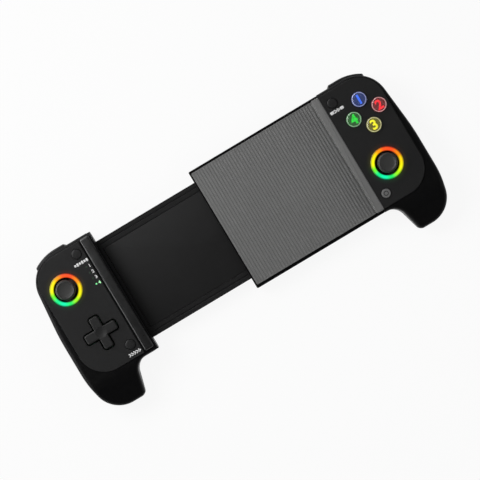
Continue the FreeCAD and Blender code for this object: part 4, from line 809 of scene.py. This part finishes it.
def ring_light(side):
    """Frosted diffuser of a stick's ring, lit in a run of hues."""
    name = f"Ring Light {side.title()}"
    if name in bpy.data.materials:
        return bpy.data.materials[name]
    material, tree, shader, place = blank_finish(name)
    circle = stick_hues(tree, place, side)
    frost = placed_group(tree, moulded_surface(), place, Colour=circle.outputs["Colour"],
                         Shade_Spread=0.12, Roughness=0.35, Gloss_Spread=0.04, Grain_Scale=5000.0)
    off_core = maths(tree, "SUBTRACT", circle.outputs["Distance"], RING_CORE * MM)
    level = between(tree, maths(tree, "ABSOLUTE", off_core), 0.0004, 0.0014, 1.0, 0.08)
    lit = brightened(tree, frost.outputs["Colour"], level)
    unlit = blended(tree, 0.8, frost.outputs["Colour"], (0.0, 0.0, 0.0, 1.0))
    feed(tree, shader.inputs["Base Color"], unlit)
    feed(tree, shader.inputs["Roughness"], frost.outputs["Roughness"])
    feed(tree, shader.inputs["Emission Color"], lit)
    shader.inputs["Emission Strength"].default_value = colours().ring_level
    raised_by(tree, shader, frost.outputs["Height"], 0.1, 0.00002)
    return material


def tinted_gloss(name, colour, level=0.0, roughness=0.25):
    """A coloured gloss that may glow a little: painted light on the face buttons and the green
    number, the lamp's own light on the lit lens.
    """
    if name in bpy.data.materials:
        return bpy.data.materials[name]
    material = moulded_finish(name, colour, roughness, grain=5200.0, bump=0.05, shade=0.1,
                              dust=0.0)
    # A level above 0 gives the colour off as light: a painted glow, except on the lit lens.
    if level:
        tree = material.node_tree
        shader = tree.nodes["Principled BSDF"]
        tint = shader.inputs["Base Color"].links[0].from_socket
        feed(tree, shader.inputs["Emission Color"], tint)
        shader.inputs["Emission Strength"].default_value = level
    return material


def clear_cap():
    """Clear polished plastic of a face button's dome."""
    name = "Clear Cap"
    if name in bpy.data.materials:
        return bpy.data.materials[name]
    material, tree, shader, place = blank_finish(name)
    surface = placed_group(tree, moulded_surface(), place, Colour=(0.97, 0.97, 0.97, 1),
                           Shade_Spread=0.02, Roughness=0.04, Gloss_Spread=0.02,
                           Grain_Scale=2500.0)
    coated(tree, shader, surface)
    shader.inputs["Transmission Weight"].default_value = 1.0
    shader.inputs["IOR"].default_value = 1.06
    shader.inputs["Coat Weight"].default_value = 0.6
    shader.inputs["Coat Roughness"].default_value = 0.06
    return material


# Pieces

class CONTROLLER_OT_case_shells(bpy.types.Operator):
    """Front and back shells of both cases"""
    bl_idname = "controller.case_shells"
    bl_label = "Case Shells"

    def execute(self, context):
        for side, body in SIDES.items():
            for half in ("front", "back"):
                node = f"{side}_{half}_shell"
                piece = eased_copy(node, f"{side}_{half}_case")
                dressed(piece, body, "case_black", case_black(), node)
        return {"FINISHED"}


class CONTROLLER_OT_face_panels(bpy.types.Operator):
    """Raised face panel of each case"""
    bl_idname = "controller.face_panels"
    bl_label = "Face Panels"

    def execute(self, context):
        for side, body in SIDES.items():
            node = f"{side}_face_panel"
            low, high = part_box(node)
            inner = min(abs(low.x), abs(high.x)) + 0.002
            piece = eased_copy(node, f"{side}_control_panel", sizes().panel_edge,
                               rim=outer_rim(high.z, inner), rim_width=sizes().panel_ease)
            dressed(piece, body, "panel_black", panel_black(side), node)
        return {"FINISHED"}


class CONTROLLER_OT_slide(bpy.types.Operator):
    """Telescoping plate with its rails and its cover"""
    bl_idname = "controller.slide"
    bl_label = "Slide Plate"

    def execute(self, context):
        plate = eased_copy("slide_plate", "slide_rails", sizes().bracket_ease)
        dressed(plate, "slider", "slide_black", slide_black(), "slide_plate")
        cover = soft_block("slide_cover_plate", *inside("slide_cover"), 0.5, 0.25, 4, 2)
        dressed(cover, "slider", "slide_black", slide_black(), "slide_cover")
        return {"FINISHED"}


class CONTROLLER_OT_bracket(bpy.types.Operator):
    """Tray and cover of the bracket that holds the phone"""
    bl_idname = "controller.bracket"
    bl_label = "Bracket"

    def execute(self, context):
        for node, name in (("bracket_tray", "bracket_back"), ("bracket_cover", "bracket_front")):
            piece = eased_copy(node, name, sizes().bracket_ease)
            dressed(piece, "base", "case_black", case_black(), node)
        return {"FINISHED"}


class CONTROLLER_OT_phone_pad(bpy.types.Operator):
    """Ribbed sheet that the phone's back lies on"""
    bl_idname = "controller.phone_pad"
    bl_label = "Phone Pad"

    def execute(self, context):
        low, high = inside("phone_pad")
        sheet_top = high.z - 0.3
        rim_foot, rim_top = low.z + 0.4, high.z - 0.08
        width = sizes().rib_width / MM
        sheet = soft_block("pad_sheet", low, (high.x, high.y, sheet_top), 0.7, 0.3, 4, 3)
        rims = [soft_block("pad_rim", (*one, rim_foot), (*two, rim_top), 0.3, 0.25, 3, 3)
                for one, two in (
                    ((low.x, low.y), (low.x + PAD_RIM, high.y)),
                    ((low.x, low.y), (high.x, low.y + PAD_RIM)),
                    ((low.x, high.y - PAD_RIM), (high.x, high.y)))]
        first = low.x + RIB_PITCH / 2
        rib = soft_block("pad_rib", (first - width / 2, low.y + 0.5, sheet_top - 0.2),
                         (first + width / 2, high.y - 0.5, high.z), 0.4, 0.34, 3, 3)
        take(rib)
        bpy.ops.object.modifier_add(type="ARRAY")
        row = rib.modifiers[-1]
        row.count = sizes().rib_count
        row.use_relative_offset = False
        row.use_constant_offset = True
        row.constant_offset_displace = (RIB_PITCH * MM, 0, 0)
        bpy.ops.object.modifier_apply(modifier=row.name)
        pad = joined("ribbed_pad", [sheet, rib] + rims)
        dressed(pad, "base", "pad_grey", pad_grey(), "phone_pad")
        bar = soft_block("stop_bar", *inside("right_stop_bar"), 0.8, 0.9, 4, 6)
        dressed(bar, "base", "pad_grey", pad_grey(), "right_stop_bar")
        return {"FINISHED"}


class CONTROLLER_OT_clamp(bpy.types.Operator):
    """Rubber bar on the sliding case and the stop that the phone's end meets"""
    bl_idname = "controller.clamp"
    bl_label = "Clamp Bar"

    def execute(self, context):
        bar = soft_block("clamp_bar", *inside("left_clamp_bar"), 1.15, 1.0, 6, 6)
        dressed(bar, "slider", "clamp_rubber", clamp_rubber(), "left_clamp_bar")
        stop = soft_block("phone_stop", *inside("left_phone_stop"), 0.4, 0.3, 4, 3)
        dressed(stop, "slider", "clamp_rubber", clamp_rubber(), "left_phone_stop")
        return {"FINISHED"}


class CONTROLLER_OT_thumb_sticks(bpy.types.Operator):
    """Notched rubber caps of the thumb sticks and their domed stems"""
    bl_idname = "controller.thumb_sticks"
    bl_label = "Thumb Sticks"

    def cap(self, name, centre):
        """One cap with a dished top and a notched rim."""
        rings = [(2.6, 28.7), (3.4, 28.65), (4.6, 29.0), (5.5, 29.4), (5.95, 29.75),
                 (6.1, NOTCH_FOOT), (6.08, NOTCH_TOP), (5.95, 31.45), (5.72, 31.95), (5.45, 32.4),
                 (5.22, 32.68), (5.0, 32.78), (4.85, 32.72), (4.7, 32.52), (4.45, 32.4),
                 (3.6, 32.25), (2.4, 32.12), (1.0, 32.06), (0.05, 32.05)]
        notches = sizes().grip_notches
        piece = turned(name, centre, rings, sides=notches * 2)
        x, y = (part * MM for part in centre)

        def every_other(mesh, face):
            middle = face.center
            if abs(face.normal.z) > 0.2 or not NOTCH_FOOT <= middle.z / MM <= NOTCH_TOP:
                return False
            share = (math.atan2(middle.y - y, middle.x - x) / math.tau) % 1.0
            return int(share * notches * 2) % 2 == 0

        edit(piece, "FACE", every_other)
        bpy.ops.mesh.inset(thickness=0.00005, depth=-0.00014, use_individual=True)
        deselect()
        smooth(piece, 30.0)
        return piece

    def stem(self, name, centre):
        """One stem: the pin that the rocker holds, the dust dome and the neck."""
        dome = [(DUST_DOME_RADIUS * math.sin(math.radians(angle)),
                 STICK_PIVOT + DUST_DOME_RADIUS * math.cos(math.radians(angle)))
                for angle in (56, 50, 44, 38, 32, 28)]
        rings = [(1.1, 16.6), (1.1, 20.9), (5.2, 20.9)] + dome
        rings += [(2.75, 23.55), (2.6, 24.0), (2.6, 28.9), (2.5, 30.4)]
        return turned(name, centre, rings)

    def execute(self, context):
        for side in SIDES:
            cap = self.cap(f"{side}_stick_grip", STICKS[side])
            dressed(cap, f"{side}_stick", "stick_rubber", stick_rubber(), f"{side}_stick_cap")
            stem = self.stem(f"{side}_stick_stem", STICKS[side])
            dressed(stem, f"{side}_stick", "inner_plastic", control_black(), f"{side}_stick_shaft")
        return {"FINISHED"}


class CONTROLLER_OT_stick_lights(bpy.types.Operator):
    """Lit rings round the thumb sticks"""
    bl_idname = "controller.stick_lights"
    bl_label = "Stick Lights"

    def execute(self, context):
        for side, body in SIDES.items():
            rings = [(7.45, 24.6), (10.0, 24.6), (10.0, 25.9)]
            rings += arc_rings(9.65, 25.9, 0.35, 20, 90, 4)
            rings += arc_rings(7.8, 25.9, 0.35, 90, 180, 5)
            rings += [(7.45, 24.6)]
            ring = turned(f"{side}_light_ring", STICKS[side], rings, sides=128)
            dressed(ring, body, "ring_light", ring_light(side), f"{side}_stick_light_ring")
        return {"FINISHED"}


class CONTROLLER_OT_direction_pad(bpy.types.Operator):
    """Dished cross of the direction pad"""
    bl_idname = "controller.direction_pad"
    bl_label = "Direction Pad"

    def execute(self, context):
        cross = eased_copy("direction_pad", "direction_cross", sizes().control_ease * 0.6)
        dressed(cross, "direction_pad", "control_black", cross_black(), "direction_pad")
        return {"FINISHED"}


class CONTROLLER_OT_face_buttons(bpy.types.Operator):
    """Four numbered buttons under clear domes"""
    bl_idname = "controller.face_buttons"
    bl_label = "Face Buttons"

    def execute(self, context):
        first = FACE_BUTTONS["button_top"][0]
        seat_rings = [(2.27, 18.0), (2.27, FLANGE_FOOT), (4.9, FLANGE_FOOT), (4.9, FLANGE_TOP),
                      (4.55, FLANGE_TOP), (4.55, 26.5), (4.45, 26.68), (4.3, 26.75)]
        seat = turned("button_seat", first, seat_rings, sides=72)
        dome_rings = [(4.42, 26.6), (4.53, 26.75), (4.55, 26.95)]
        dome_rings += arc_rings(3.25, 26.9, 1.3, 15, 80, 6)
        dome_rings += [(2.6, 28.17), (1.5, 28.19), (0.05, 28.2)]
        dome = turned("button_dome", first, dome_rings, sides=72)
        # The pale ring under the dome's edge is a painted highlight, standing for the light caught
        # by the dome's rim.
        highlight_ring = turned("button_collar", first,
                        [(3.9, 26.7), (4.4, 26.7), (4.4, 26.86), (4.32, 26.95), (3.98, 26.95),
                         (3.9, 26.86), (3.9, 26.7)], sides=72)
        for label, (place, text, hue) in FACE_BUTTONS.items():
            colour = tuple(getattr(colours(), hue))
            # Ground, rim ring and numeral glow a little: painted light, as no lamp lies under the
            # buttons.
            ground = tuple(0.006 + part * 0.13 for part in colour)
            # Tint of the painted rim highlight.
            highlight_tint = tuple(0.2 + part * 0.35 for part in colour)
            move = (place[0] - first[0], place[1] - first[1], 0)
            shade = hue.title()
            parts = [
                (copied(seat, f"{label}_seat", move),
                 tinted_gloss(f"Button Ground {shade}", ground, 0.35)),
                (copied(highlight_ring, f"{label}_collar", move),
                 tinted_gloss(f"Button Rim {shade}", highlight_tint, 0.25)),
                (numeral(f"{label}_numeral", text, place, 5.9, 26.72, 0.0002, 0.26),
                 tinted_gloss(f"Button Glyph {shade}", colour, 0.4)),
                (copied(dome, f"{label}_dome", move), clear_cap()),
            ]
            for piece, finish in parts:
                dressed(piece, label, f"clear_{hue}", finish)
            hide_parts(label)
        for pattern in (seat, dome, highlight_ring):
            bpy.data.objects.remove(pattern)
        return {"FINISHED"}


class CONTROLLER_OT_menu_buttons(bpy.types.Operator):
    """Three small black buttons and the grey home button"""
    bl_idname = "controller.menu_buttons"
    bl_label = "Menu Buttons"

    def rings(self, radius):
        """Rings of a small button: plunger, flange and softly crowned cap."""
        flange = radius + 0.35
        return ([(radius / 2, 17.6), (radius / 2, FLANGE_FOOT), (flange, FLANGE_FOOT),
                 (flange, FLANGE_TOP), (radius, FLANGE_TOP), (radius, 26.4)]
                + arc_rings(radius - 0.45, 26.4, 0.45, 15, 75, 4)
                + [(radius * 0.6, 26.87), (radius * 0.3, 26.89), (0.05, 26.9)])

    def execute(self, context):
        for label, place in MENU_BUTTONS.items():
            piece = turned(f"{label}_cap", place, self.rings(3.0), sides=72)
            dressed(piece, label, "control_black", control_black(), label)
        home = turned("button_home_cap", HOME_PLACE, self.rings(2.75), sides=72)
        dressed(home, "button_home", "home_grey", home_grey(), "button_home")
        mark_rings = [(1.05, 26.83), (1.5, 26.83), (1.5, 26.89), (1.05, 26.895), (1.05, 26.83)]
        ring = turned("button_home_mark", HOME_PLACE, mark_rings, sides=48)
        dressed(ring, "button_home", "control_black", control_black())
        return {"FINISHED"}


class CONTROLLER_OT_indicators(bpy.types.Operator):
    """Four indicator lenses with their numbers"""
    bl_idname = "controller.indicators"
    bl_label = "Indicators"

    def execute(self, context):
        rings = [(0.5, 23.2), (0.5, 25.95)] + arc_rings(0.3, 25.85, 0.2, 30, 80, 3)
        rings += [(0.05, 26.05)]
        pattern = turned("lens", (LIGHT_X, LIGHT_YS[0]), rings, sides=32)
        dark = tinted_gloss("Lens Dark", (0.03, 0.06, 0.035), roughness=0.15)
        lit = tinted_gloss("Lens Lit", (0.2, 0.75, 0.3), 0.5, roughness=0.2)
        # The number beside the lit lens is painted green and glows a little: painted light from
        # that lens. The other numbers keep their white print.
        lit_number_glow = tinted_gloss("Mark Green", (0.4, 0.9, 0.45), 0.3, roughness=0.5)
        for index, y in enumerate(LIGHT_YS, start=1):
            lens = copied(pattern, f"indicator_lens_{index}", (0, y - LIGHT_YS[0], 0))
            dressed(lens, "slider", "indicator_light", lit if index == LIGHT_ON else dark)
            if index == 1:
                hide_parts("indicator_lenses")
            number = numeral(f"indicator_number_{index}", str(index), (NUMBER_X, y), 2.0,
                             MARK_FOOT, sizes().mark_depth, 0.09)
            dressed(number, "slider", "panel_black",
                    lit_number_glow if index == LIGHT_ON else mark_white())
        bpy.data.objects.remove(pattern)
        return {"FINISHED"}


class CONTROLLER_OT_button_marks(bpy.types.Operator):
    """Plain printed signs beside the small buttons"""
    bl_idname = "controller.button_marks"
    bl_label = "Button Marks"

    def bar(self, name, centre, width, height):
        """A flat bar with rounded ends."""
        x, y = centre
        low = (x - width / 2, y - height / 2, MARK_FOOT)
        high = (x + width / 2, y + height / 2, MARK_FOOT + sizes().mark_depth / MM)
        return soft_block(name, low, high, min(width, height) * 0.3, 0.01, 3, 1)

    def chevron(self, name, centre, reach, height):
        """A flat arrowhead that points along X."""
        x, y = centre
        piece = self.bar(name, (x, y), reach * 0.55, height)
        edit_all(piece)
        bpy.ops.mesh.bisect(plane_co=(x * MM, y * MM, 0), plane_no=(0, 1, 0))
        deselect()
        edit(piece, "VERT", lambda mesh, point: abs(point.co.y - y * MM) < SAME_PLACE)
        bpy.ops.transform.translate(value=(reach * 0.6 * MM, 0, 0))
        deselect()
        return piece

    def execute(self, context):
        x, y = SELECT_MARK
        parts = [self.bar(f"part_{index}", (x + (index - 2.5) * 1.6, y), 1.25,
                          2.0 if index % 2 else 1.5) for index in range(6)]
        dressed(joined("select_mark", parts), "slider", "panel_black", mark_white())
        x, y = TURBO_MARK
        parts = [self.chevron(f"part_{index}", (x - 3.6 + index * 1.65, y), 1.7, 2.0)
                 for index in range(5)]
        dressed(joined("turbo_mark", parts), "slider", "panel_black", mark_white())
        x, y = START_MARK
        parts = [self.bar("part_0", (x - 3.4, y), 2.4, 1.8),
                 self.chevron("part_1", (x - 1.5, y), 2.4, 2.0),
                 self.chevron("part_2", (x + 0.5, y), 2.4, 2.0),
                 self.bar("part_3", (x + 3.3, y), 2.4, 1.8)]
        dressed(joined("start_mark", parts), "base", "panel_black", mark_white())
        return {"FINISHED"}


class CONTROLLER_OT_shoulders(bpy.types.Operator):
    """Shoulder buttons and triggers of both cases"""
    bl_idname = "controller.shoulders"
    bl_label = "Shoulder Pieces"

    def execute(self, context):
        for side in SIDES:
            for kind in ("bumper", "trigger"):
                node = f"{side}_{kind}"
                piece = eased_copy(node, f"{node}_piece", sizes().control_ease * 0.7)
                dressed(piece, node, "control_black", control_black(), node)
        return {"FINISHED"}


class CONTROLLER_OT_inner_parts(bpy.types.Operator):
    """Finishes of the hidden parts, and the rubber mats under the buttons"""
    bl_idname = "controller.inner_parts"
    bl_label = "Inner Parts"

    def execute(self, context):
        for side, body in SIDES.items():
            mat = eased_copy(f"{side}_dome_mat", f"{side}_button_mat", 0.00012)
            dressed(mat, body, "dome_rubber", dome_rubber(), f"{side}_dome_mat")
            node = f"{side}_trigger_spring"
            coil = eased_copy(node, f"{side}_return_coil")
            dressed(coil, body, "steel", steel(), node)
            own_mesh(coil)
        metal = ("screw", "pins", "spring", "motor", "port")
        for name, part in CAD.items():
            if part.hide_render:
                continue
            if any(word in name for word in metal):
                finish = steel()
            elif "board" in name:
                finish = board_green()
            elif name == "battery":
                finish = battery_foil()
            else:
                finish = inner_plastic()
            for place in part.material_slots:
                place.material = finish
        return {"FINISHED"}


class CONTROLLER_OT_stage(bpy.types.Operator):
    """White floor, soft lamps, pale surroundings and the camera"""
    bl_idname = "controller.stage"
    bl_label = "Stage"

    def seen_rays(self, tree):
        """The light path's node, and a level of 1 for rays that see the background."""
        rays = tree.nodes.new("ShaderNodeLightPath")
        return rays, maths(tree, "MAXIMUM", rays.outputs["Is Camera Ray"],
                           rays.outputs["Is Transmission Ray"])

    def floor(self):
        """A wide white floor under the controller."""
        reach = sizes().floor_reach
        deselect()
        bpy.ops.mesh.primitive_plane_add(size=2 * reach, location=(0, 0, -0.0002))
        ground = settle(bpy.context.object, "floor")
        edit(ground, "FACE", lambda mesh, face: True)
        bpy.ops.mesh.inset(thickness=reach * 0.5, depth=0.0)
        deselect()
        material, tree, shader, place = blank_finish("Floor White")
        shader.inputs["Base Color"].default_value = (0.9, 0.9, 0.9, 1)
        shader.inputs["Roughness"].default_value = 0.9
        shader.inputs["Specular IOR Level"].default_value = 0.0
        rays, seen = self.seen_rays(tree)
        seen = maths(tree, "MAXIMUM", seen, rays.outputs["Is Glossy Ray"])
        glow = tree.nodes.new("ShaderNodeEmission")
        mix = tree.nodes.new("ShaderNodeMixShader")
        feed(tree, mix.inputs["Fac"], maths(tree, "MULTIPLY", seen, 0.9))
        feed(tree, mix.inputs[1], shader.outputs["BSDF"])
        feed(tree, mix.inputs[2], glow.outputs["Emission"])
        feed(tree, tree.nodes["Material Output"].inputs["Surface"], mix.outputs["Shader"])
        ground.data.materials.append(material)

    def surroundings(self):
        """White where it is seen; in a mirrored ray dim overhead, with one bright low card."""
        world = bpy.data.worlds.new("Studio")
        bpy.context.scene.world = world
        world.use_nodes = True
        tree = world.node_tree
        tree.nodes.clear()
        rays, seen = self.seen_rays(tree)
        place = tree.nodes.new("ShaderNodeTexCoord").outputs["Generated"]
        split = tree.nodes.new("ShaderNodeSeparateXYZ")
        feed(tree, split.inputs["Vector"], place)
        toward = tree.nodes.new("ShaderNodeVectorMath")
        toward.operation = "DOT_PRODUCT"
        toward.inputs[1].default_value = (-0.66, 0.6, 0.45)
        feed(tree, toward.inputs[0], place)
        height = split.outputs["Z"]
        low_sky = between(tree, height, 0.05, 0.4, 0.5, 0.05)
        card = between(tree, toward.outputs["Value"], 0.6, 0.8, 0.0, 8.0)
        card = maths(tree, "MULTIPLY", card, between(tree, height, 0.45, 0.65, 1.0, 0.0))
        mirrored = maths(tree, "MAXIMUM", low_sky, card)
        level = switched(tree, rays.outputs["Is Glossy Ray"], 0.42, mirrored)
        light = tree.nodes.new("ShaderNodeBackground")
        feed(tree, light.inputs["Strength"], switched(tree, seen, level, 1.0))
        out = tree.nodes.new("ShaderNodeOutputWorld")
        feed(tree, out.inputs["Surface"], light.outputs["Background"])

    def lamp(self, name, direction, distance, size, power):
        """A square soft lamp that faces the object."""
        deselect()
        place = Vector(direction).normalized() * distance
        bpy.ops.object.light_add(type="AREA", location=place)
        lamp = bpy.context.object
        lamp.name = name
        lamp.data.energy = power
        lamp.data.size = size
        lamp.rotation_euler = Vector(direction).to_track_quat("Z", "Y").to_euler()

    def execute(self, context):
        self.floor()
        self.surroundings()
        self.lamp("Key Lamp", (-0.5, 0.6, 0.95), 0.85, 0.45, 3.9)
        self.lamp("Fill Lamp", (0.8, -0.4, 0.7), 1.4, 0.8, 2.0)
        deselect()
        bpy.ops.object.camera_add(location=CAMERA_PLACE,
                                  rotation=(0.0, 0.0, math.radians(CAMERA_TURN)))
        camera = bpy.context.object
        camera.data.lens = 200.0
        camera.data.sensor_width = 36.0
        camera.data.clip_end = 20.0
        context.scene.camera = camera
        context.scene.view_settings.view_transform = "Standard"
        return {"FINISHED"}


STEPS = (
    CONTROLLER_OT_case_shells,
    CONTROLLER_OT_face_panels,
    CONTROLLER_OT_slide,
    CONTROLLER_OT_bracket,
    CONTROLLER_OT_phone_pad,
    CONTROLLER_OT_clamp,
    CONTROLLER_OT_thumb_sticks,
    CONTROLLER_OT_stick_lights,
    CONTROLLER_OT_direction_pad,
    CONTROLLER_OT_face_buttons,
    CONTROLLER_OT_menu_buttons,
    CONTROLLER_OT_indicators,
    CONTROLLER_OT_button_marks,
    CONTROLLER_OT_shoulders,
    CONTROLLER_OT_inner_parts,
    CONTROLLER_OT_stage,
)


class CONTROLLER_PT_pieces(bpy.types.Panel):
    """Lists the steps that build the controller"""
    bl_idname = "CONTROLLER_PT_pieces"
    bl_label = "Controller"
    bl_space_type = "VIEW_3D"
    bl_region_type = "UI"
    bl_category = "Controller"

    def draw(self, context):
        column = self.layout.column()
        for step in STEPS:
            column.operator(step.bl_idname)
        for group in (context.scene.controller_sizes, context.scene.controller_colours):
            for name in group.bl_rna.properties.keys():
                if name not in ("rna_type", "name"):
                    column.prop(group, name)


CLASSES = (ControllerSizes, ControllerColours) + STEPS + (CONTROLLER_PT_pieces,)


def register():
    """Add the classes and the settings to Blender."""
    for kind in CLASSES:
        bpy.utils.register_class(kind)
    bpy.types.Scene.controller_sizes = PointerProperty(type=ControllerSizes)
    bpy.types.Scene.controller_colours = PointerProperty(type=ControllerColours)


def unregister():
    """Take the settings and the classes away again."""
    del bpy.types.Scene.controller_colours
    del bpy.types.Scene.controller_sizes
    for kind in reversed(CLASSES):
        bpy.utils.unregister_class(kind)


def clear_start():
    """Remove what a new file holds besides the frame."""
    for name in ("Cube", "Light", "Camera"):
        item = bpy.data.objects.get(name)
        if item:
            bpy.data.objects.remove(item)


def main():
    """Build every piece in order."""
    register()
    clear_start()
    bpy.ops.controller.case_shells()
    bpy.ops.controller.face_panels()
    bpy.ops.controller.slide()
    bpy.ops.controller.bracket()
    bpy.ops.controller.phone_pad()
    bpy.ops.controller.clamp()
    bpy.ops.controller.thumb_sticks()
    bpy.ops.controller.stick_lights()
    bpy.ops.controller.direction_pad()
    bpy.ops.controller.face_buttons()
    bpy.ops.controller.menu_buttons()
    bpy.ops.controller.indicators()
    bpy.ops.controller.button_marks()
    bpy.ops.controller.shoulders()
    bpy.ops.controller.inner_parts()
    bpy.ops.controller.stage()


if __name__ == "__main__":
    main()
